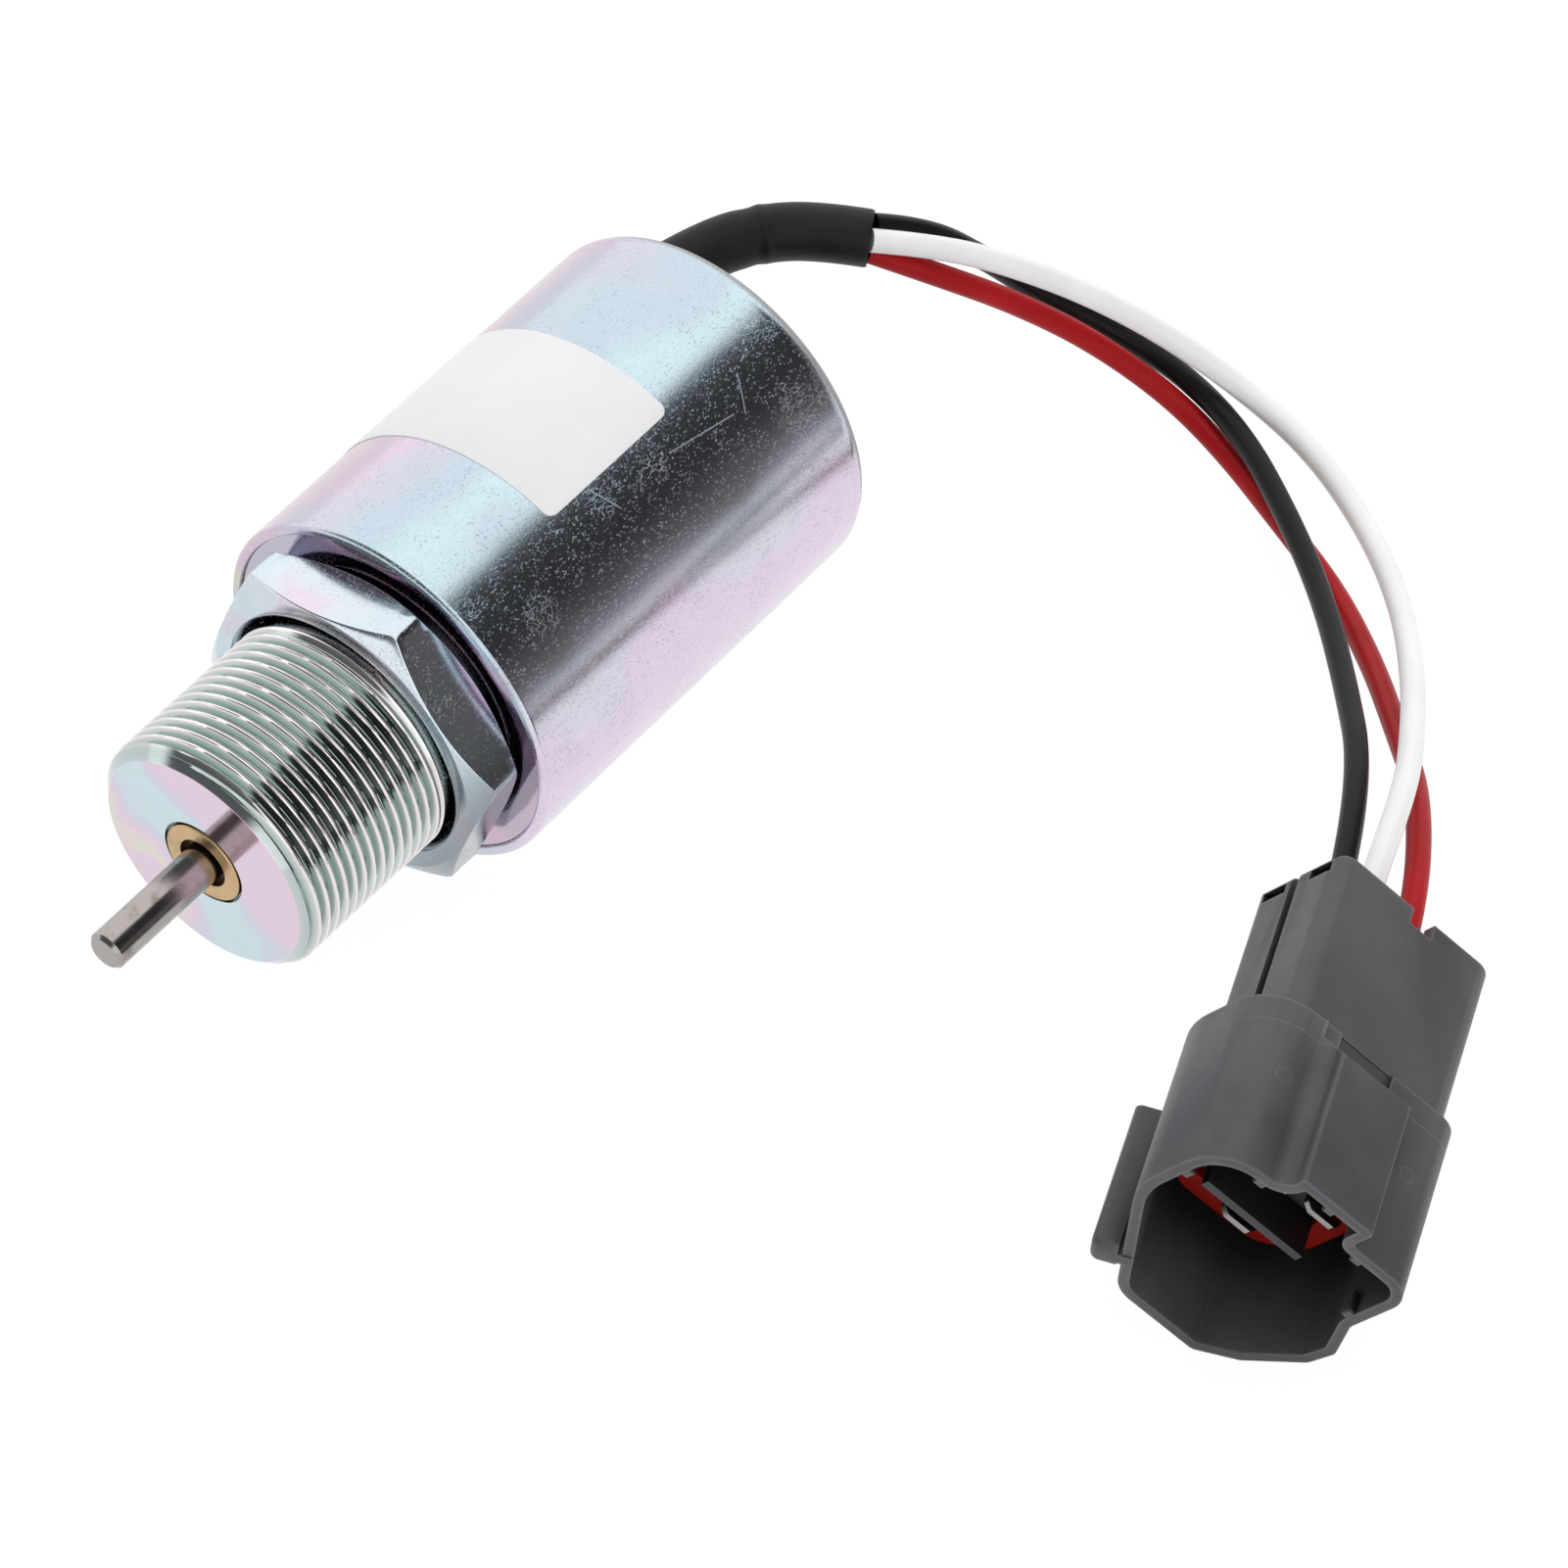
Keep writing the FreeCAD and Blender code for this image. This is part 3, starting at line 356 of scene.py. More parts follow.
def plated(name, tint, grain=1.0, roughness=0.16, wear=1.0, matte_from=None):
    """Bright zinc plating: a tint given by the piece, soft grain, light specks and fine scratches.

    With matte_from, an x along the axis, it has the can's long marks too and is dull behind that x.
    """
    material, tree, shader = new_material(name)
    vector, x, y, z = place(tree)
    colour = tint(tree, vector, x, y, z)
    cloud = noise(tree, vector, 0.35, 4.0, 0.6)
    colour = mix_colour(tree, math_node(tree, "MULTIPLY", cloud, 0.22), colour, GREY)
    patches = ramp(tree, noise(tree, vector, 0.25, 3.0, 0.6), [(0.35, 0.4), (0.65, 1)])
    drawn = vector_math(tree, "MULTIPLY", vector, (0.6, 1.0, 1.0))
    cells = add_node(tree, "ShaderNodeTexVoronoi", {"Vector": drawn, "Scale": SPECKS_PER_MM}).outputs["Color"]
    chance = add_node(tree, "ShaderNodeSeparateColor", {0: cells}).outputs[0]
    specks = ramp(tree, chance, [(0.0, 0), (0.80, 0.04), (0.92, 0.20), (0.98, 1)], "LINEAR")
    specks = math_node(tree, "MULTIPLY", specks, patches)
    lines = math_node(
        tree,
        "MAXIMUM",
        scratches(tree, vector, (0.3, 0.2, 0.7)),
        scratches(tree, vector, (0.1, -0.5, -0.4), 1.2),
    )
    marks = math_node(tree, "MAXIMUM", specks, math_node(tree, "MULTIPLY", lines, 0.8))
    marks = math_node(tree, "MULTIPLY", marks, wear)
    if matte_from is not None:
        angle = math_node(tree, "ARCTAN2", z, y)
        for start, end in LONG_MARKS:
            marks = math_node(tree, "MAXIMUM", marks, long_mark(tree, x, angle, start, end))
    rough = noise(tree, vector, 1.8, 5.0, 0.65)
    amount = between(tree, rough, roughness - 0.05, roughness + 0.08)
    amount = math_node(tree, "ADD", amount, math_node(tree, "MULTIPLY", marks, 0.5))
    fine = noise(tree, vector, 3.2, 3.0, 0.7)
    normal = bump(tree, fine, 0.30 * grain, 0.030)
    normal = bump(tree, marks, 0.5 * grain, 0.04, normal)
    wave = noise(tree, vector, 0.16, 1.0, 0.5)
    normal = bump(tree, wave, 0.25, 0.10, normal)
    if matte_from is not None:
        matte = add_node(
            tree, "ShaderNodeMapRange", {"Value": x, "From Min": matte_from, "From Max": matte_from + 0.5}
        ).outputs[0]
        colour = mix_colour(tree, math_node(tree, "MULTIPLY", matte, 0.8), colour, (0.40, 0.40, 0.41))
        amount = math_node(tree, "ADD", amount, math_node(tree, "MULTIPLY", matte, 0.30))
    shader.inputs["Metallic"].default_value = 1.0
    join(tree, shader, colour, amount, normal)
    return material


def round_tint_and_reflections(tree, vector, x, y, z):
    """The can's colours, which change round it and drift along it: partly the plating's tints and partly
    painted reflection, with a painted highlight tint near the top and brighter copies low down that paint the
    floor's reflection.
    """
    angle = math_node(tree, "ARCTAN2", z, y)
    drift = noise(tree, vector, 0.045, 2.0, 0.5)
    turn = math_node(tree, "MULTIPLY_ADD", angle, TURNS_PER_RADIAN)
    turn.node.inputs[2].default_value = 0.5
    wander = math_node(tree, "MULTIPLY", math_node(tree, "SUBTRACT", drift, 0.5), 0.22)
    turn = math_node(tree, "ADD", turn, wander)
    return ramp(tree, turn, [
        (0.00, FLOOR_LIT_PINK), (0.05, FLOOR_LIT_PINK), (0.095, FLOOR_LIT_BLUE), (0.19, LILAC), (0.30, CYAN), (0.50, LILAC),
        (0.565, STRAW), (0.60, PINK), (0.645, PINK), (0.69, LILAC), (0.745, CYAN), (0.785, ICE_HIGHLIGHT), (0.83, CYAN),
        (0.915, GREY), (0.94, FLOOR_LIT_BLUE), (0.965, FLOOR_LIT_LILAC), (0.99, FLOOR_LIT_PINK),
    ])


def nose_tint_with_painted_light(tree, vector, x, y, z):
    """The nose's colours: soft clouds on its face in brighter copies that paint the floor's reflection,
    painted shade in the thread's roots with a painted highlight on its crests, pink on the plate, and a
    darker tint on the front bevel that paints the dark it reflects.
    """
    drift = noise(tree, vector, 0.055, 2.0, 0.5)
    lean = vector_math(tree, "DOT_PRODUCT", vector, (0.0, 0.013, -0.010))
    cloud = math_node(tree, "ADD", drift, lean)
    # Painted reflection: the face's colours are brighter copies of the can's tints, standing for the floor
    # reflected in the face.
    floor_lit_cyan, floor_lit_pink, floor_lit_lilac = (0.58, 0.72, 0.76), (0.75, 0.59, 0.70), (0.63, 0.62, 0.74)
    clouds = ramp(tree, cloud, [
        (0.34, floor_lit_pink), (0.41, floor_lit_lilac), (0.46, floor_lit_cyan), (0.58, floor_lit_cyan), (0.64, floor_lit_lilac),
        (0.69, floor_lit_pink), (0.76, (0.72, 0.68, 0.60)), (0.82, floor_lit_pink),
    ])
    # Painted shade and highlight: the thread is dark teal in its roots and bright pink on its crests.
    depth = math_node(tree, "SUBTRACT", hypotenuse(tree, y, z), THREAD_R - 1.0, clamp=True)
    thread = ramp(tree, depth, [
        (0.0, (0.22, 0.28, 0.26)), (0.40, (0.46, 0.55, 0.52)), (0.75, (0.60, 0.62, 0.60)),
        (0.9, (0.86, 0.80, 0.80)),
    ])
    plate = ramp(tree, noise(tree, vector, 0.09, 2.0, 0.5), [
        (0.36, (0.50, 0.42, 0.52)), (0.5, (0.62, 0.43, 0.54)), (0.64, (0.48, 0.46, 0.55)),
    ])
    thread = mix_colour(tree, math_node(tree, "GREATER_THAN", x, NUT_THICKNESS), thread, plate)
    # Painted reflection: a darker grey-teal tint on the front bevel stands for the dark that it reflects.
    bevel = ramp(tree, math_node(tree, "SUBTRACT", x, NOSE_FACE), [(0.0, 1), (0.9, 0.8), (1.0, 0)])
    thread = mix_colour(tree, bevel, thread, (0.52, 0.59, 0.59))
    return mix_colour(tree, math_node(tree, "GREATER_THAN", x, NOSE_FACE + 0.1), clouds, thread)


def nut_tint(tree, vector, x, y, z):
    """The lock nut's colours, with painted shade on the side that it lies towards."""
    drift = noise(tree, vector, 0.09, 2.0, 0.5)
    colour = ramp(tree, drift, [
        (0.30, (0.70, 0.62, 0.70)), (0.42, (0.64, 0.70, 0.75)), (0.55, (0.58, 0.69, 0.74)),
        (0.70, (0.64, 0.64, 0.73)),
    ])
    # Painted shade: the nut's colour is darkened on its lower side.
    under = vector_math(tree, "DOT_PRODUCT", vector, (0.0, -0.047, -0.027))
    shaded_side = ramp(tree, under, [(0.45, 1), (0.95, (0.42, 0.42, 0.43))])
    return mix_colour(tree, 1.0, colour, shaded_side, "MULTIPLY")


def bare_metal(name, colour, roughness, lengthwise=6.0, dirt=(0.25, 0.2, 0.17), dark_ring_r=0.0):
    """Machined metal: fine marks round the axis, dark stains, and near-black colour close to the axis, out to
    the radius given.
    """
    material, tree, shader = new_material(name)
    vector, _, y, z = place(tree)
    stretched = vector_math(tree, "MULTIPLY", vector, (lengthwise, 0.35, 0.35))
    marks = noise(tree, stretched, 1.4, 4.0, 0.7)
    stain = noise(tree, vector, 0.55, 4.0, 0.6)
    spots = ramp(tree, stain, [(0.52, 0), (0.75, 1)])
    base = mix_colour(tree, math_node(tree, "MULTIPLY", spots, 0.6), colour, dirt)
    base = mix_colour(tree, math_node(tree, "MULTIPLY", marks, 0.25), base, tuple(c * 0.75 for c in colour))
    # Near-black colour out to the given radius from the axis.
    if dark_ring_r:
        near_axis = math_node(tree, "LESS_THAN", hypotenuse(tree, y, z), dark_ring_r)
        base = mix_colour(tree, math_node(tree, "MULTIPLY", near_axis, 0.85), base, (0.05, 0.035, 0.03))
    amount = between(tree, marks, roughness - 0.06, roughness + 0.12)
    shader.inputs["Metallic"].default_value = 1.0
    join(tree, shader, base, amount, bump(tree, marks, 0.3, 0.02))
    return material


def plastic(name, colour, roughness, grain=0.15, scale=3.0, variation=0.12, coat=0.0, specular=0.5):
    """Moulded plastic: faint cloudy colour, a fine grain and a little unevenness in its gloss."""
    material, tree, shader = new_material(name)
    vector = place(tree)[0]
    cloud = noise(tree, vector, 0.12, 3.0, 0.5)
    darker = tuple(c * (1 - variation) for c in colour)
    lighter = tuple(min(1.0, c * (1 + variation)) for c in colour)
    base = ramp(tree, cloud, [(0.35, darker), (0.65, lighter)])
    fine = noise(tree, vector, scale, 3.0, 0.6)
    amount = between(tree, fine, roughness - 0.05, roughness + 0.07)
    join(tree, shader, base, amount, bump(tree, fine, grain, 0.02))
    shader.inputs["Coat Weight"].default_value = coat
    shader.inputs["Coat Roughness"].default_value = 0.1
    shader.inputs["Specular IOR Level"].default_value = specular
    return material


PARTING_LINE = 18.9
MOULD_MARKS = [(-8.9, 12.6), (9.0, 12.4)]
MOULD_MARK_R = 0.9
MOULD_MARK_HALF_WIDTH = 0.14
TOP_SIDE = -10.6
TONGUE_HALF_WIDTH = 7.2
TONGUE_HALF_THICKNESS = 1.0
TONGUE_END = 20.0
EDGE_HIGHLIGHT_REACH = 0.7
HOLLOW_REACH = 14.0


def moulded(name, colour, roughness):
    """The plug's plastic with mould marks, painted shade in its hollows and on its tongue, and a painted
    highlight on its edges.
    """
    material, tree, shader = new_material(name)
    vector = place(tree)[0]
    across, down, back, origin = plug_axes()
    moved = vector_math(tree, "SUBTRACT", vector, tuple(origin))
    u, v, s = [vector_math(tree, "DOT_PRODUCT", moved, tuple(axis)) for axis in (across, down, back)]
    off_line = math_node(tree, "ABSOLUTE", math_node(tree, "SUBTRACT", s, PARTING_LINE))
    marks = ramp(tree, off_line, [(0.06, 1), (0.20, 0)])
    on_top = math_node(tree, "LESS_THAN", v, TOP_SIDE)
    for mark_u, mark_s in MOULD_MARKS:
        du = math_node(tree, "SUBTRACT", u, mark_u)
        ds = math_node(tree, "SUBTRACT", s, mark_s)
        past_circle = math_node(tree, "SUBTRACT", hypotenuse(tree, du, ds), MOULD_MARK_R)
        away = math_node(tree, "ABSOLUTE", past_circle)
        circle = math_node(tree, "LESS_THAN", away, MOULD_MARK_HALF_WIDTH)
        marks = math_node(tree, "MAXIMUM", marks, math_node(tree, "MULTIPLY", circle, on_top))
    cloud = noise(tree, vector, 0.10, 3.0, 0.5)
    darker = tuple(c * 0.92 for c in colour)
    lighter = tuple(c * 1.10 for c in colour)
    base = ramp(tree, cloud, [(0.35, darker), (0.65, lighter)])
    base = mix_colour(tree, math_node(tree, "MULTIPLY", marks, 0.45), base, tuple(c * 1.7 for c in colour))
    # Painted highlight: the colour is lightened along the rounded edges.
    bevelled = add_node(tree, "ShaderNodeBevel", {"Radius": EDGE_HIGHLIGHT_REACH * MM}, samples=6).outputs[0]
    facing = add_node(tree, "ShaderNodeNewGeometry").outputs["Normal"]
    sharp = vector_math(tree, "DOT_PRODUCT", bevelled, facing)
    edge_highlight = ramp(tree, sharp, [(0.88, 0.75), (0.985, 0)])
    base = mix_colour(tree, edge_highlight, base, tuple(c * 2.3 for c in colour))
    # Painted shade: the colour is darkened where ambient occlusion finds the plastic closed in, in the mouth
    # and in creases.
    open_space = add_node(tree, "ShaderNodeAmbientOcclusion", {"Distance": HOLLOW_REACH * MM}, samples=6)
    shade = ramp(tree, open_space.outputs["AO"], [(0.08, 0.02), (0.42, 0.24), (0.78, 1)])
    base = mix_colour(tree, 1.0, base, shade, "MULTIPLY")
    # Painted shade: the tongue inside the mouth is painted nearly black.
    beside = math_node(tree, "LESS_THAN", math_node(tree, "ABSOLUTE", u), TONGUE_HALF_WIDTH)
    level = math_node(tree, "LESS_THAN", math_node(tree, "ABSOLUTE", v), TONGUE_HALF_THICKNESS)
    before = math_node(tree, "LESS_THAN", s, TONGUE_END)
    tongue_shade = math_node(tree, "MULTIPLY", math_node(tree, "MULTIPLY", beside, level), before)
    base = mix_colour(tree, math_node(tree, "MULTIPLY", tongue_shade, 0.65), base, (0.008, 0.008, 0.009))
    fine = noise(tree, vector, 2.5, 3.0, 0.6)
    worn = noise(tree, vector, 0.5, 4.0, 0.6)
    amount = between(tree, worn, roughness - 0.08, roughness + 0.10)
    normal = bump(tree, fine, 0.18, 0.02)
    normal = bump(tree, marks, 0.4, 0.04, normal)
    join(tree, shader, base, amount, normal)
    shader.inputs["Specular IOR Level"].default_value = 0.45
    return material


# Solenoid

NOSE_FACE = -22.8
NOSE_BEVEL = 1.6
THREAD_R = 15.0
THREAD_PITCH = 1.5
THREAD_DEPTH = 0.92
THREAD_START = -22.0
THREAD_END = 0.0
THREAD_FADE = 1.2
THREAD_STEP = 0.095
CREST_HALF = 0.05
FLANK = 0.36
ROUND_SHARE = 0.3
SHOULDER = -0.6
RELIEF_R = 14.75
NECK_START = 6.45
NECK_R = 13.6
PLATE_FRONT = 8.05
PLATE_BACK = 14.05
PLATE_R = 21.05
POCKET_R = 8.7
POCKET_FRONT = 2.9
SEAL_BORE_R = 3.2
BUSH_BORE_END = -9.6
BUSH_HOLE_R = 4.25
FLANGE_SEAT = -21.72
FLANGE_SEAT_R = 5.4


def thread_drop(turns):
    """How deep the thread is below its crest, for a place given in turns."""
    away = np.abs(np.mod(turns, 1.0) - 0.5)
    slope = np.clip((away - CREST_HALF) / FLANK, 0.0, 1.0)
    return THREAD_DEPTH * (slope * slope * (3 - 2 * slope) * ROUND_SHARE + slope * (1 - ROUND_SHARE))


def make_nose(material):
    """The nose with its helical thread cut in, its face, its bush pocket and the front plate."""
    outline = rounded([
        (NOSE_FACE, FLANGE_SEAT_R, 0.1), (NOSE_FACE, THREAD_R - NOSE_BEVEL, 0.12),
        (NOSE_FACE + NOSE_BEVEL, THREAD_R, 0.15), (SHOULDER, THREAD_R, 0), (SHOULDER, RELIEF_R, 0),
        (NECK_START, RELIEF_R, 0), (NECK_START, NECK_R, 0), (PLATE_FRONT, NECK_R, 0.2),
        (PLATE_FRONT, PLATE_R, 0), (PLATE_BACK, PLATE_R, 0), (PLATE_BACK, POCKET_R, 0),
        (POCKET_FRONT, POCKET_R, 0), (POCKET_FRONT, SEAL_BORE_R, 0), (BUSH_BORE_END, SEAL_BORE_R, 0),
        (BUSH_BORE_END, BUSH_HOLE_R, 0), (FLANGE_SEAT, BUSH_HOLE_R, 0), (FLANGE_SEAT, FLANGE_SEAT_R, 0),
    ], 4)
    crest = [i for i in range(len(outline)) if outline[i][1] > THREAD_R - 0.1 and outline[i][0] < 0]
    first, last = crest[0], crest[-1]
    steps = int((outline[last][0] - outline[first][0]) / THREAD_STEP)
    long_run = np.linspace(outline[first], outline[last], steps)
    bevel_run = np.linspace(outline[first - 1], outline[first], 16)[1:-1]
    outline = np.concatenate([outline[:first], bevel_run, long_run, outline[last + 1:]])
    angle = np.linspace(0, 2 * math.pi, SEGMENTS, endpoint=False)
    rings = []
    for x, r in outline:
        radius = np.full(SEGMENTS, r)
        if THREAD_START <= x <= THREAD_END and r >= THREAD_R - NOSE_BEVEL:
            cut = THREAD_R - thread_drop(x / THREAD_PITCH - angle / (2 * math.pi))
            fade = np.clip((SHOULDER - x) / THREAD_FADE, 0.0, 1.0)
            radius = np.minimum(radius, cut * fade + radius * (1 - fade))
        rings.append(np.stack([np.full(SEGMENTS, x), radius * np.cos(angle), radius * np.sin(angle)], axis=1))
    mesh = mesh_from_rings("nose", rings, closed_along=True)
    piece = add_piece("nose", mesh, "solenoid", "zinc_plate", material, "threaded_nose")
    even_shading(piece)


NUT_THICKNESS = 7.0
NUT_BORE_R = 15.05
NUT_MOUTH = 1.0
NUT_LIP = 0.06
NUT_FLAT = 18.0
NUT_CHAMFER = 17.85
NUT_TURN = 50.0
NUT_EDGE = 0.12
NUT_CORNER_R = 1.4
HALF_FLAT = 30.0
CHAMFER_SLOPE = math.tan(math.radians(30.0))
CHAMFER_RINGS = (0.0, 0.12, 0.35, 0.65, 1.0)
FACE_RINGS = (16.1, 16.6, 17.4, NUT_CHAMFER - 0.03)


def hexagon(angle):
    """The distance from the axis to the nut's side, with rounded corners between its flats."""
    half = math.radians(HALF_FLAT)
    turn = np.abs(np.mod(np.degrees(angle) - NUT_TURN, 2 * HALF_FLAT) - HALF_FLAT)
    flat = NUT_FLAT / np.cos(np.radians(turn))
    centre = (NUT_FLAT - NUT_CORNER_R) / math.cos(half)
    tangent = math.degrees(math.atan((NUT_FLAT - NUT_CORNER_R) * math.tan(half) / NUT_FLAT))
    away = np.radians(HALF_FLAT - turn)
    beyond = np.sqrt(np.maximum(NUT_CORNER_R ** 2 - (centre * np.sin(away)) ** 2, 0.0))
    round_part = centre * np.cos(away) + beyond
    return np.where(turn > tangent, round_part, flat)


def make_nut(material):
    """The lock nut: flats, chamfers that cut arcs into them, and softened edges."""
    base = np.linspace(0, 60, 41) + NUT_TURN
    shift = (base - NUT_TURN) / 60.0
    dense = NUT_TURN + 60.0 * (shift - np.sin(2 * math.pi * shift) / (2 * math.pi) * 0.85)
    angle = np.radians(np.concatenate([dense[:-1] + 60.0 * k for k in range(6)]))
    flat = hexagon(angle)
    mouth_r = NUT_BORE_R + NUT_MOUTH - NUT_LIP
    rings = []

    def ring(x, r):
        x = np.broadcast_to(x, angle.shape)
        r = np.broadcast_to(r, angle.shape)
        rings.append(np.stack([x, r * np.cos(angle), r * np.sin(angle)], axis=1))

    def drop(r):
        return np.maximum(r - NUT_CHAMFER, 0.0) * CHAMFER_SLOPE

    def chamfer_r(part):
        return NUT_CHAMFER + 0.01 + (flat - NUT_EDGE - NUT_CHAMFER - 0.01) * part

    start = drop(flat) + NUT_EDGE
    end = NUT_THICKNESS - start
    ring(NUT_MOUTH, NUT_BORE_R)
    ring(NUT_LIP, mouth_r)
    for r in FACE_RINGS:
        ring(0.0, r)
    for part in CHAMFER_RINGS:
        ring(drop(chamfer_r(part)), chamfer_r(part))
    ring(start - NUT_EDGE * 0.7, flat - NUT_EDGE * 0.3)
    for part in (0.0, 0.25, 0.5, 0.75, 1.0):
        ring(start + (end - start) * part, flat)
    ring(end + NUT_EDGE * 0.7, flat - NUT_EDGE * 0.3)
    for part in reversed(CHAMFER_RINGS):
        ring(NUT_THICKNESS - drop(chamfer_r(part)), chamfer_r(part))
    for r in reversed(FACE_RINGS):
        ring(NUT_THICKNESS, r)
    ring(NUT_THICKNESS - NUT_LIP, mouth_r)
    ring(NUT_THICKNESS - NUT_MOUTH, NUT_BORE_R)
    mesh = mesh_from_rings("nut", rings, closed_along=True)
    piece = add_piece("nut", mesh, "locknut", "zinc_plate", material, "lock_nut")
    even_shading(piece)


CAN_FRONT = 7.6
CAN_REAR = 65.0
CAN_INNER_R = 21.1
CRIMP_START = 63.7
CRIMP_INNER_R = 18.5
CAN_DULL_FROM = 62.9


def make_can(material):
    """The drawn can: rounded lip, long side and crimped rear shoulder."""
    mesh = turned("can", [
        (CAN_FRONT, CAN_INNER_R, 0.3), (CAN_FRONT, CAN_RADIUS, 0.6), (CAN_REAR, CAN_RADIUS, 3.0),
        (CAN_REAR, CRIMP_INNER_R, 0.3), (CRIMP_START, CRIMP_INNER_R, 0.3), (CRIMP_START, CAN_INNER_R, 1.7),
    ], steps=10)
    even_shading(add_piece("can", mesh, "solenoid", "zinc_plate", material, "can_shell"))


LABEL_FRONT = 24.4
LABEL_REAR = 44.7
LABEL_FROM_ANGLE = -14.0
LABEL_TO_ANGLE = 116.0
LABEL_THICKNESS = 0.13
LABEL_SOFT_R = 0.09
LABEL_SOFT_EDGE = 0.02
LABEL_EDGE = 0.1
LABEL_CORNER = 1.2


def make_label(material):
    """The label: a thin sheet round the can with rounded corners and a softened edge."""
    first, last = math.radians(LABEL_FROM_ANGLE), math.radians(LABEL_TO_ANGLE)
    arc = (last - first) * CAN_RADIUS
    ease = np.linspace(0, 1, 9)
    corner = LABEL_CORNER * (1 - np.cos(ease * math.pi / 2))
    straight = np.linspace(LABEL_CORNER, arc - LABEL_CORNER, 150)[1:-1]
    along = np.concatenate([corner, straight, (arc - corner)[::-1]])
    inset = np.maximum(LABEL_CORNER - np.minimum(along, arc - along), 0.0)
    cut = LABEL_CORNER - np.sqrt(np.maximum(LABEL_CORNER ** 2 - inset ** 2, 0.0))
    angle = first + along / CAN_RADIUS
    low = LABEL_FRONT + cut
    high = LABEL_REAR - cut
    sections = []
    for x0, x1, turn in zip(low, high, angle):
        middle = (x0 + x1) / 2
        rising = [x0, x0 + LABEL_SOFT_EDGE, x0 + LABEL_EDGE]
        falling = [x1 - LABEL_EDGE, x1 - LABEL_SOFT_EDGE, x1]
        xs = [*rising, middle, *falling, middle]
        rs = [0.0, LABEL_SOFT_R, LABEL_THICKNESS, LABEL_THICKNESS, LABEL_THICKNESS, LABEL_SOFT_R, 0.0, 0.0]
        sections.append([
            (x, (CAN_RADIUS + r) * math.cos(turn), (CAN_RADIUS + r) * math.sin(turn)) for x, r in zip(xs, rs)
        ])
    mesh = mesh_from_rings("label_sheet", sections, caps=True)
    add_piece("label_sheet", mesh, "solenoid", "label_film", material, "label")


CENTRE_R = 0.001
BUSH_FRONT = -22.92
BUSH_STEP = -21.92
BUSH_REAR = -12.3
BUSH_BORE_R = 2.36
BUSH_MOUTH_R = 3.1
BUSH_R = 4.2
BUSH_FLANGE_R = 5.07
ROD_TIP = -38.6
ROD_END = 11.95
ROD_R = 2.32
ROD_CHAMFER = 0.45
DARK_RING_R = 3.15
OUTLET = (69.05, 11.6, 7.6)
OUTLET_START = 64.65
OUTLET_FOOT_R = 4.2
OUTLET_TIP_R = 3.8
LID_FRONT = 63.05
LID_STEP = 63.65
LID_REAR = 64.6
LID_R = 19.35
LID_REAR_R = 18.3


def make_small_parts(bronze, steel, rubber, cover):
    """The bush, the rod, the outlet and the rear cover."""
    bush = turned("bush", [
        (BUSH_STEP, BUSH_BORE_R, 0), (BUSH_STEP, BUSH_MOUTH_R, 0), (BUSH_FRONT, BUSH_MOUTH_R, 0.15),
        (BUSH_FRONT, BUSH_FLANGE_R, 0.2), (FLANGE_SEAT, BUSH_FLANGE_R, 0), (FLANGE_SEAT, BUSH_R, 0),
        (BUSH_REAR, BUSH_R, 0.1), (BUSH_REAR, BUSH_BORE_R, 0.1),
    ], segments=128)
    even_shading(add_piece("bush", bush, "solenoid", "bush_metal", bronze, "guide_bushing"))
    rod = turned("rod", [
        (ROD_TIP, CENTRE_R, 0), (ROD_TIP, ROD_R - ROD_CHAMFER, 0.08), (ROD_TIP + ROD_CHAMFER, ROD_R, 0.08),
        (ROD_END, ROD_R, 0), (ROD_END, CENTRE_R, 0),
    ], segments=128)
    even_shading(add_piece("rod", rod, "plunger", "plain_steel", steel, "push_rod"))
    outlet = turned("outlet", [
        (OUTLET_START, CENTRE_R, 0), (OUTLET_START, OUTLET_FOOT_R, 0.1), (OUTLET[0], OUTLET_TIP_R, 0.25),
        (OUTLET[0], CENTRE_R, 0),
    ], y=OUTLET[1], z=OUTLET[2], segments=96)
    even_shading(add_piece("outlet", outlet, "solenoid", "seal_rubber", rubber, "wire_grommet"))
    lid = turned("lid", [
        (LID_FRONT, CENTRE_R, 0), (LID_FRONT, LID_R, 0.1), (LID_STEP, LID_R, 0.1), (LID_STEP, LID_REAR_R, 0),
        (LID_REAR, LID_REAR_R, 0.25), (LID_REAR, CENTRE_R, 0),
    ], segments=160)
    even_shading(add_piece("lid", lid, "solenoid", "cover_plastic", cover, "rear_cover"))


SPRING_START = 24.5
SPRING_END = 51.3
SPRING_RADIUS = 3.8
SPRING_WIRE = 0.45
SPRING_TURNS = 8


def make_spring(material):
    """The return spring with closed end turns."""
    turn = np.linspace(0, SPRING_TURNS, SPRING_TURNS * 40 + 1)
    share = turn / SPRING_TURNS
    eased = 0.5 - 0.5 * np.cos(math.pi * share)
    x = SPRING_START + (SPRING_END - SPRING_START) * (0.45 * share + 0.55 * eased)
    angle = 2 * math.pi * turn
    centre = np.stack([x, SPRING_RADIUS * np.cos(angle), SPRING_RADIUS * np.sin(angle)], axis=1)
    along = np.gradient(centre, axis=0)
    along /= np.linalg.norm(along, axis=1)[:, None]
    outward = np.stack([np.zeros_like(x), np.cos(angle), np.sin(angle)], axis=1)
    side = np.cross(along, outward)
    spread = np.linspace(0, 2 * math.pi, 12, endpoint=False)
    rings = [
        c + SPRING_WIRE * (np.cos(spread)[:, None] * o[None, :] + np.sin(spread)[:, None] * s[None, :])
        for c, o, s in zip(centre, outward, side)
    ]
    mesh = mesh_from_rings("spring", rings, caps=True)
    piece = add_piece("spring", mesh, "plunger", "plain_steel", material, "return_spring")
    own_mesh(piece)


# Sleeve, wires and plug

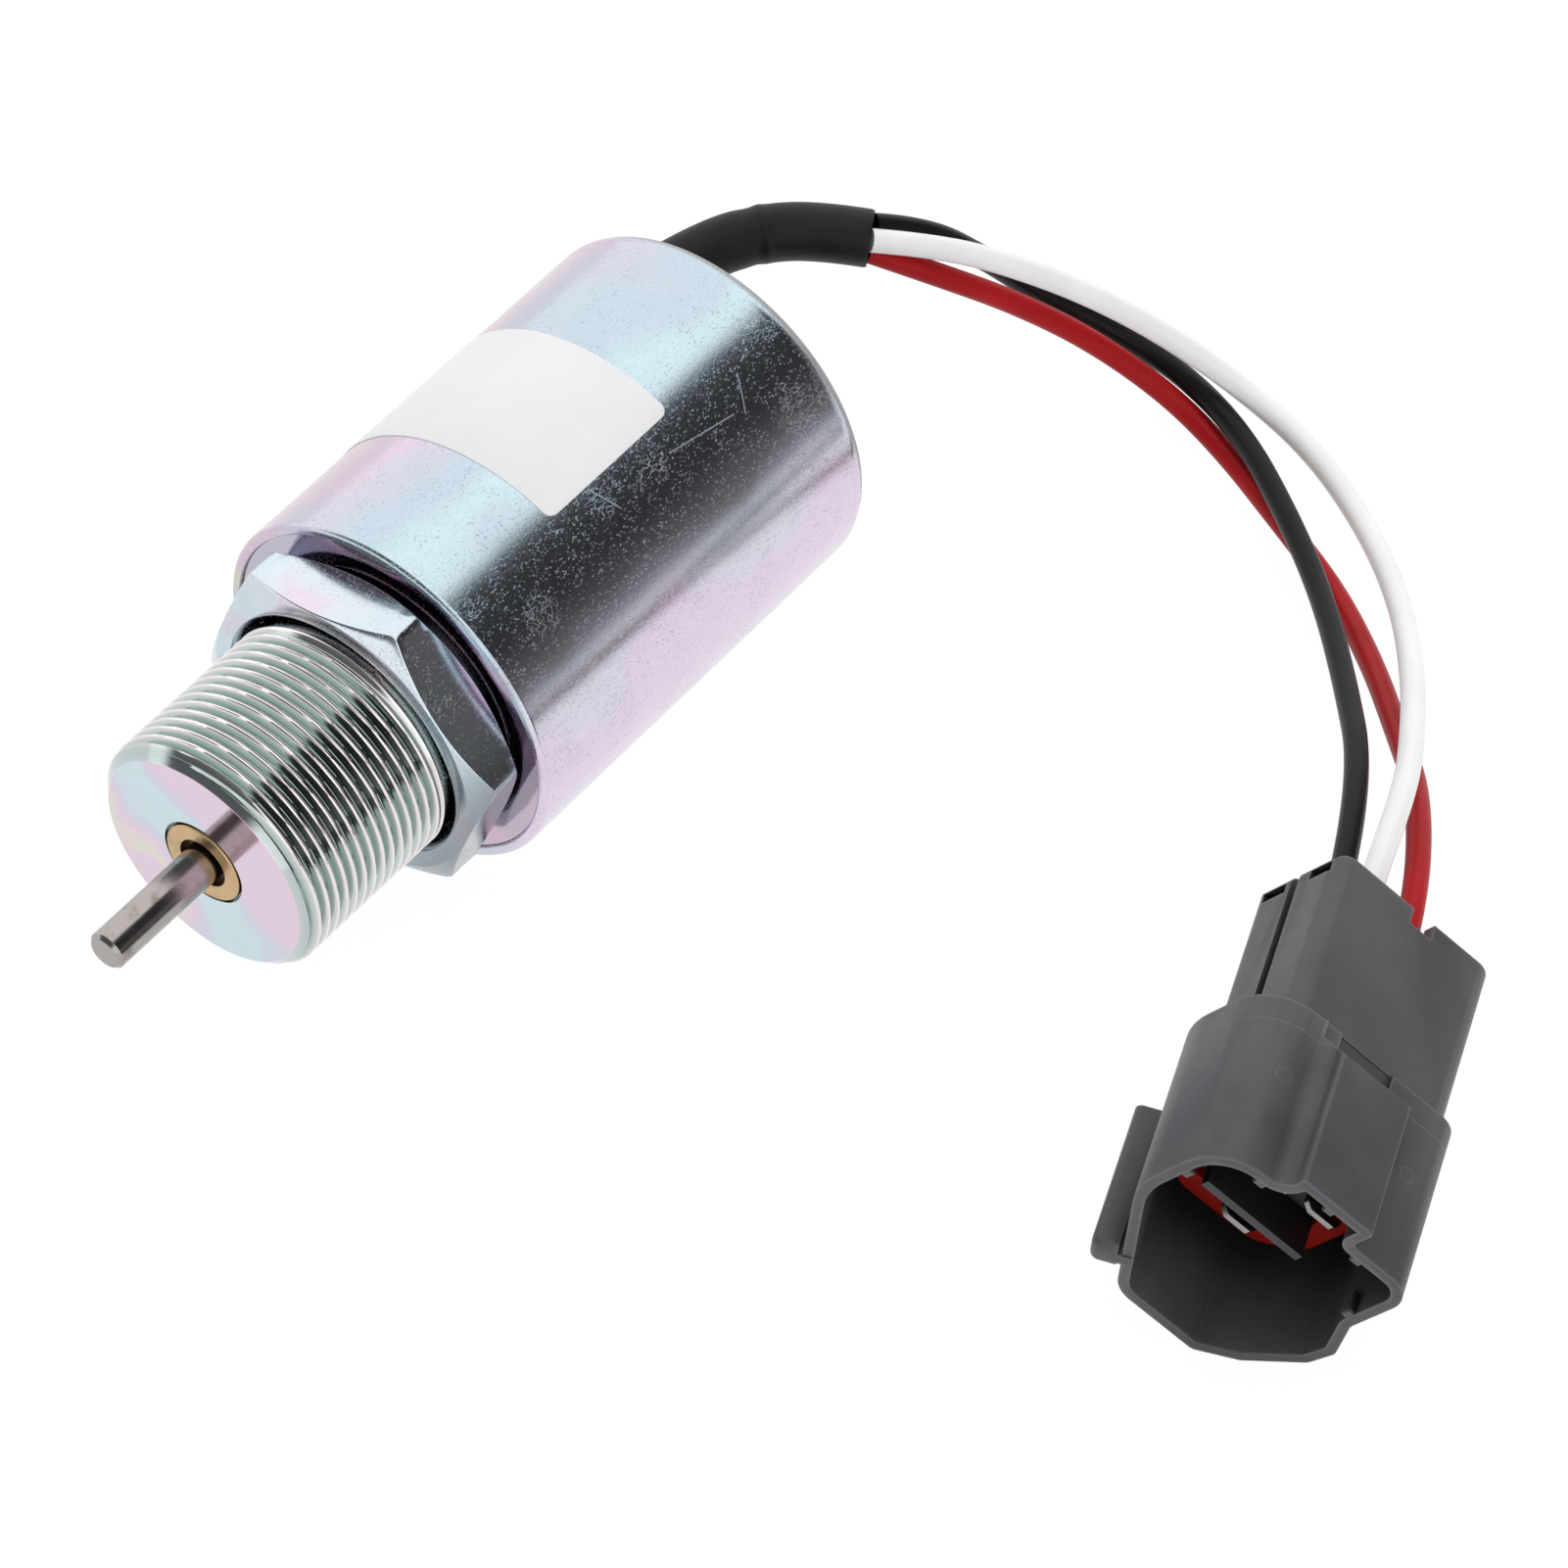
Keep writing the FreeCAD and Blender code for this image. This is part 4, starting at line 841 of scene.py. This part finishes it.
SLEEVE_ROUTE = [(75.4, 9.8, 8.1), (81.2, 6.5, 8.3), (86.0, 1.8, 7.9), (89.1, -3.4, 7.3)]
WIRE_RADIUS = 1.4
WIRE_RING = 1.75
WIRE_ANGLES = {"white": 140.0, "red": 260.0, "black": 20.0}
WIRE_ROUTES = {
    "white": [
        (94.2, -9.8, 6.0), (100.1, -16.2, 2.0), (106.5, -22.3, -4.0), (111.9, -29.4, -10.5),
        (114.4, -38.8, -15.5), (113.2, -49.2, -17.5), (107.8, -60.2, -17.5), (98.3, -71.8, -14.5),
        (85.5, -82.3, -9.0), (73.1, -90.3, -3.5), (63.6, -95.6, 1.4),
    ],
    "red": [
        (93.6, -10.3, 2.0), (101.0, -15.8, -5.0), (107.1, -22.2, -12.0), (110.4, -30.9, -18.0),
        (109.3, -40.2, -20.9), (104.3, -51.6, -20.9), (98.9, -62.9, -20.2), (89.6, -74.5, -16.5),
        (79.3, -84.7, -11.5), (68.8, -94.6, -5.4),
    ],
    "black": [
        (96.2, -5.9, 5.0), (101.7, -10.3, -1.5), (106.9, -15.0, -9.0), (111.7, -21.0, -14.2),
        (113.6, -30.3, -17.2), (110.1, -41.8, -17.4), (102.0, -54.4, -17.2), (93.6, -64.9, -16.0),
        (82.3, -75.6, -12.5), (69.8, -86.2, -7.6),
    ],
}
WIRE_ENTRY = 47.0
WIRE_END = 36.0
TERMINAL_SPOTS = {"white": (-2.8, -6.6), "red": (3.6, -6.6), "black": (-0.3, 2.1)}
PLUG_HEADING = 21.7
PLUG_ROLL = 40.9
PLUG_MOUTH = (6.1, -115.9)
PLUG_LOW_CORNER = (8.8, 17.1)
OBJECT_FOOT = -22.4


def plug_axes():
    """The plug's own directions and the centre of its mouth, in the part's frame."""
    heading, roll = math.radians(PLUG_HEADING), math.radians(PLUG_ROLL)
    back = np.array([math.cos(heading), math.sin(heading), 0.0])
    across = np.array([math.sin(heading), -math.cos(heading), 0.0])
    up = np.array([0.0, 0.0, 1.0])
    u = across * math.cos(roll) - up * math.sin(roll)
    v = -across * math.sin(roll) - up * math.cos(roll)
    height = OBJECT_FOOT + PLUG_LOW_CORNER[0] * math.sin(roll) + PLUG_LOW_CORNER[1] * math.cos(roll)
    return u, v, back, np.array([*PLUG_MOUTH, height])


def in_plug(u, v, s):
    """A point given in the plug's own frame."""
    across, down, back, origin = plug_axes()
    return origin + across * u + down * v + back * s


def cross_axes(along):
    """Two directions across a cord, one level and one upwards."""
    across = np.array([-along[1], along[0], 0.0])
    across /= np.linalg.norm(across)
    up = np.cross(along, across)
    return across, up if up[2] >= 0 else -up


def wire_start(colour):
    """Where a wire leaves the sleeve's cut end."""
    end = np.array(SLEEVE_ROUTE[-1])
    along = end - np.array(SLEEVE_ROUTE[-2])
    along /= np.linalg.norm(along)
    across, up = cross_axes(along)
    angle = math.radians(WIRE_ANGLES[colour])
    return end + across * WIRE_RING * math.cos(angle) + up * WIRE_RING * math.sin(angle)


def smooth_curve(name, points, radius):
    """A round curve on one smooth spline, with the route's points as its control points."""
    curve = bpy.data.curves.new(name, "CURVE")
    curve.dimensions = "3D"
    spline = curve.splines.new("NURBS")
    spline.points.add(len(points) - 1)
    for point, place_mm in zip(spline.points, points):
        point.co = (*(float(c) * MM for c in place_mm), 1.0)
    spline.order_u = 3
    spline.use_endpoint_u = True
    spline.resolution_u = 16
    curve.bevel_depth = radius * MM
    curve.bevel_resolution = 6
    curve.use_fill_caps = radius > 0
    return curve


def make_wires(materials):
    """The three wires, from the sleeve to the plug."""
    for colour, route in WIRE_ROUTES.items():
        u, v = TERMINAL_SPOTS[colour]
        points = [wire_start(colour), *route, in_plug(u, v, WIRE_ENTRY), in_plug(u, v, WIRE_END)]
        curve = smooth_curve(f"lead_{colour}", points, WIRE_RADIUS)
        curve.materials.append(materials[colour])
        piece = bpy.data.objects.new(f"lead_{colour}", curve)
        bpy.context.scene.collection.objects.link(piece)
        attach(piece, "solenoid")
        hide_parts(f"wire_{colour}")


def spline_points(points):
    """Points along the smooth curve of a route."""
    curve = smooth_curve("route", points, 0.0)
    holder = bpy.data.objects.new("route", curve)
    bpy.context.scene.collection.objects.link(holder)
    line = bpy.data.meshes.new_from_object(holder)
    spots = np.array([v.co for v in line.vertices]) / MM
    bpy.data.objects.remove(holder)
    bpy.data.curves.remove(curve)
    bpy.data.meshes.remove(line)
    return spots


SLEEVE_R = 3.36
SLEEVE_WALL = 0.42
SLEEVE_TIP = 0.4
RIDGE_HEIGHT = 0.12
FOLD_SHARE = 0.52
FOLD_HEIGHT = 0.13
FOLD_WIDTH = 0.55
DIP_BEFORE_FOLD = 1.3
DIP_DEPTH = 0.10
DIP_WIDTH = 0.9
RIM_DROP = 0.10
RIM_WIDTH = 0.25


def make_sleeve(material):
    """The shrunk sleeve: an open tube that shows the wires' ridges and a fold, thinning to its cut end."""
    spots = spline_points([OUTLET, *SLEEVE_ROUTE])
    steps = np.linalg.norm(np.diff(spots, axis=0), axis=1)
    travelled = np.concatenate([[0.0], np.cumsum(steps)])
    total = travelled[-1]
    tip = total - SLEEVE_TIP
    wanted = np.concatenate([np.linspace(0, tip, 110), tip + np.linspace(0.05, SLEEVE_TIP, 6)])
    centre = np.stack([np.interp(wanted, travelled, spots[:, k]) for k in range(3)], axis=1)
    direction = np.gradient(centre, axis=0)
    direction /= np.linalg.norm(direction, axis=1)[:, None]
    angle = np.linspace(0, 2 * math.pi, 96, endpoint=False)
    wire_turns = np.radians(list(WIRE_ANGLES.values()))
    outer, inner = [], []
    for point, along, where in zip(centre, direction, wanted):
        across, up = cross_axes(along)
        ridge = np.max(np.cos(angle[:, None] - wire_turns), axis=1)
        toward_end = where / total
        radius = SLEEVE_R + RIDGE_HEIGHT * (ridge - 0.8) * toward_end
        past_fold = where - FOLD_SHARE * total
        fold = math.exp(-(past_fold / FOLD_WIDTH) ** 2)
        radius = radius + FOLD_HEIGHT * fold * (0.6 + 0.4 * np.sin(angle))
        radius = radius - DIP_DEPTH * math.exp(-((past_fold + DIP_BEFORE_FOLD) / DIP_WIDTH) ** 2)
        radius = radius - RIM_DROP * math.exp(-((where - total) / RIM_WIDTH) ** 2)
        circle = across[None, :] * np.cos(angle)[:, None] + up[None, :] * np.sin(angle)[:, None]
        outer.append(point + circle * radius[:, None])
        inner.append(point + circle * (radius - SLEEVE_WALL)[:, None])
    rings = outer + inner[::-1]
    mesh = mesh_from_rings("sleeve", rings, closed_along=True)
    return add_piece("sleeve", mesh, "solenoid", "sleeve_plastic", material, "shrink_sleeve")


RIB_SIZE = (1.4, 1.2, 2.8)
RIB_DEPTH = 1.43
RIB_ROUNDING = 0.15
MOUTH_RIBS = [
    (-11.95, -4.1, 90.0), (-6.9, -9.95, 0.0), (-0.1, -13.25, 0.0), (7.1, -9.95, 0.0), (13.05, -2.7, 90.0),
]


def make_ribs(material):
    """The small ribs just inside the plug's mouth, as (u, v, turn) of each, in one mesh."""
    shape = bmesh.new()
    across, down, back, _ = plug_axes()
    for u, v, turn in MOUTH_RIBS:
        cosine, sine = math.cos(math.radians(turn)), math.sin(math.radians(turn))
        wide = across * cosine + down * sine
        deep = down * cosine - across * sine
        spot = in_plug(u, v, RIB_DEPTH)
        axes = Matrix((Vector(wide), Vector(deep), Vector(back))).transposed().to_4x4()
        sides = Matrix.Diagonal((*(side * MM for side in RIB_SIZE), 1.0))
        bmesh.ops.create_cube(shape, size=1.0, matrix=Matrix.Translation(Vector(spot) * MM) @ axes @ sides)
    edges = list(shape.edges)
    bmesh.ops.bevel(
        shape, geom=edges, offset=RIB_ROUNDING * MM, segments=2, affect="EDGES", clamp_overlap=True
    )
    mesh = bpy.data.meshes.new("mouth_ribs")
    shape.to_mesh(mesh)
    shape.free()
    tidy_normals(mesh)
    return add_piece("mouth_ribs", mesh, "solenoid", "housing_plastic", material)


def make_plug(housing, red, tin, pale):
    """The plug's pieces, each from its solid with softened edges."""
    shared = [
        softened("connector_housing", "plug_housing", 0.3, "housing_plastic", housing),
        softened("terminal_lock", "plug_lock", 0.2, "lock_plastic", red),
        softened("wire_retainer", "plug_retainer", 0.12, "retainer_plastic", pale),
        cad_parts["wire_seals"],
        make_ribs(housing),
    ]
    on_cord = {}
    for spot, colour in (("upper_left", "white"), ("upper_right", "red"), ("lower", "black")):
        on_cord[colour] = [softened(f"terminal_{spot}", f"tab_{spot}", 0.1, "tin_plate", tin)]
    on_cord["white"] += shared
    return on_cord


# Light and floor

WORLD_STRENGTH = 1.3
DARK_SIDE = (0.58, -0.74, 0.33)
NEAR_SIDE = (-0.72, 0.30, 0.55)
LAMP_SIDE = (0.45, -0.62, 0.64)
LAMP_ENERGY = 0.7
LAMP_ANGLE = 70.0
FLOOR_LEVEL = -22.42
FLOOR_REACH = 3000.0
FLOOR_NEAR_EDGE = -165.0
FLOOR_GLOW = 1.04
GLOW_SHARE = 0.93


def make_world():
    """A white room with a dark side, paler towards the floor, and a dark patch behind the viewer."""
    world = bpy.data.worlds.new("studio")
    bpy.context.scene.world = world
    world.use_nodes = True
    tree = world.node_tree
    background = tree.nodes["Background"]
    coordinates = add_node(tree, "ShaderNodeTexCoord")
    direction = coordinates.outputs["Generated"]
    facing = vector_math(tree, "DOT_PRODUCT", direction, tuple(Vector(DARK_SIDE).normalized()))
    turned_away = ramp(tree, facing, [(0.69, 0), (0.77, 1)])
    height = add_node(tree, "ShaderNodeSeparateXYZ", {0: direction}).outputs[2]
    gloom = ramp(tree, math_node(tree, "ADD", height, 0.5), [
        (0.25, 0.01), (0.375, 0.01), (0.39, 0.66), (0.45, 0.68),
        (0.50, 0.34), (0.55, (0.20, 0.19, 0.195)), (0.70, (0.145, 0.135, 0.14)),
        (0.84, (0.085, 0.075, 0.08)), (1.0, (0.035, 0.03, 0.033)),
    ], "LINEAR")
    level = mix_colour(tree, turned_away, (1.0, 1.0, 1.0), gloom)
    nearness = vector_math(tree, "DOT_PRODUCT", direction, tuple(Vector(NEAR_SIDE).normalized()))
    shade = ramp(tree, nearness, [(0.70, 0), (0.86, 1)])
    above = ramp(tree, height, [(0.10, 0), (0.28, 1)])
    shade = math_node(tree, "MULTIPLY", math_node(tree, "MULTIPLY", shade, above), 0.93)
    level = mix_colour(tree, shade, level, (0.05, 0.05, 0.055))
    rays = add_node(tree, "ShaderNodeLightPath")
    plain = math_node(tree, "MAXIMUM", rays.outputs["Is Camera Ray"], rays.outputs["Is Transmission Ray"])
    colour = mix_colour(tree, plain, level, (1.0, 1.0, 1.0))
    tree.links.new(colour, background.inputs["Color"])
    background.inputs["Strength"].default_value = WORLD_STRENGTH


def make_lamp():
    """A broad soft lamp on the right, which lifts the label, the wires and the plug."""
    data = bpy.data.lights.new("soft_lamp", "SUN")
    data.energy = LAMP_ENERGY
    data.angle = math.radians(LAMP_ANGLE)
    lamp = bpy.data.objects.new("soft_lamp", data)
    lamp.rotation_euler = Vector(LAMP_SIDE).to_track_quat("Z", "Y").to_euler()
    lamp.visible_glossy = False
    bpy.context.scene.collection.objects.link(lamp)


def make_floor():
    """A white floor that keeps a faint shadow under the object."""
    mesh = bpy.data.meshes.new("floor")
    level = FLOOR_LEVEL * MM
    near = FLOOR_NEAR_EDGE * MM
    reach = FLOOR_REACH * MM
    corners = [(-reach, near, level), (reach, near, level), (reach, reach, level), (-reach, reach, level)]
    mesh.from_pydata(corners, [], [(0, 1, 2, 3)])
    floor = bpy.data.objects.new("floor", mesh)
    bpy.context.scene.collection.objects.link(floor)
    material, tree, shader = new_material("floor")
    shader.inputs["Base Color"].default_value = (0.90, 0.90, 0.91, 1.0)
    shader.inputs["Roughness"].default_value = 0.9
    glow = add_node(tree, "ShaderNodeEmission", {"Color": (1.0, 1.0, 1.0, 1.0), "Strength": FLOOR_GLOW})
    rays = add_node(tree, "ShaderNodeLightPath")
    shown = math_node(tree, "MAXIMUM", rays.outputs["Is Camera Ray"], rays.outputs["Is Glossy Ray"])
    shown = math_node(tree, "MAXIMUM", shown, rays.outputs["Is Transmission Ray"])
    seen = math_node(tree, "MULTIPLY", shown, GLOW_SHARE)
    mixed = add_node(tree, "ShaderNodeMixShader", {0: seen, 1: shader.outputs[0], 2: glow.outputs[0]})
    output = tree.nodes["Material Output"]
    tree.links.new(mixed.outputs[0], output.inputs["Surface"])
    mesh.materials.append(material)


def give(material, *nodes):
    """Puts a material on CAD nodes that stay as they are."""
    for node in nodes:
        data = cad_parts[node].data
        data.materials.clear()
        data.materials.append(material)


make_camera()
make_world()
make_lamp()
make_floor()
bpy.context.scene.view_settings.view_transform = "Standard"

zinc_can = plated("zinc_can", round_tint_and_reflections, matte_from=CAN_DULL_FROM)
zinc_nose = plated("zinc_nose", nose_tint_with_painted_light, grain=0.2, roughness=0.08, wear=0.15)
zinc_nut = plated("zinc_nut", nut_tint, grain=0.8, roughness=0.13, wear=0.7)
bronze = bare_metal("bronze", (0.60, 0.42, 0.22), 0.30, dark_ring_r=DARK_RING_R)
drawn_steel = bare_metal("drawn_steel", (0.40, 0.365, 0.345), 0.17, lengthwise=0.3, dirt=(0.14, 0.10, 0.08))
iron = bare_metal("iron", (0.50, 0.51, 0.53), 0.30)
tube_brass = bare_metal("tube_brass", (0.70, 0.56, 0.30), 0.25)
tin = bare_metal("tin", (0.30, 0.295, 0.285), 0.22)
copper = plastic("copper_turns", (0.52, 0.20, 0.07), 0.25, grain=0.5, scale=5.0)
tape = plastic("tape", (0.72, 0.62, 0.33), 0.35)
nylon = plastic("nylon", (0.06, 0.06, 0.065), 0.45)
rubber = plastic("rubber", (0.018, 0.018, 0.018), 0.6, grain=0.25, specular=0.3)
cover = plastic("cover", (0.035, 0.035, 0.038), 0.45)
paper = plastic("paper", (0.855, 0.855, 0.875), 0.32, grain=0.08, scale=1.2, variation=0.012)
shrink = plastic("shrink", (0.0105, 0.011, 0.0135), 0.44, grain=0.2, scale=1.5, specular=0.2)
housing = moulded("housing", (0.069, 0.066, 0.072), 0.42)
lock_red = plastic("lock_red", (0.20, 0.004, 0.001), 0.45, specular=0.08)
pale = plastic("pale", (0.70, 0.66, 0.64), 0.4)
insulation = {
    "white": plastic("white_pvc", (0.90, 0.89, 0.88), 0.30, grain=0.1, scale=1.0, variation=0.02, coat=0.2),
    "red": plastic(
        "red_pvc", (0.40, 0.007, 0.010), 0.42, grain=0.1, scale=1.0, variation=0.08, specular=0.15
    ),
    "black": plastic("black_pvc", (0.0085, 0.0085, 0.0095), 0.36, grain=0.1, scale=1.0, specular=0.16),
}

on_cord = make_plug(housing, lock_red, tin, pale)
on_cord["white"].append(make_sleeve(shrink))
make_wires(insulation)

make_nose(zinc_nose)
make_nut(zinc_nut)
make_can(zinc_can)
make_label(paper)
make_small_parts(bronze, drawn_steel, rubber, cover)
give(iron, "plunger_core", "pole_piece", "flux_plate")
make_spring(drawn_steel)
give(tube_brass, "guide_tube", "rest_washer")
give(copper, "pull_winding", "hold_winding")
give(tape, "winding_wrap")
give(nylon, "bobbin")
give(rubber, "rod_seal", "pole_cushion", "wire_seals")

bpy.context.view_layer.update()
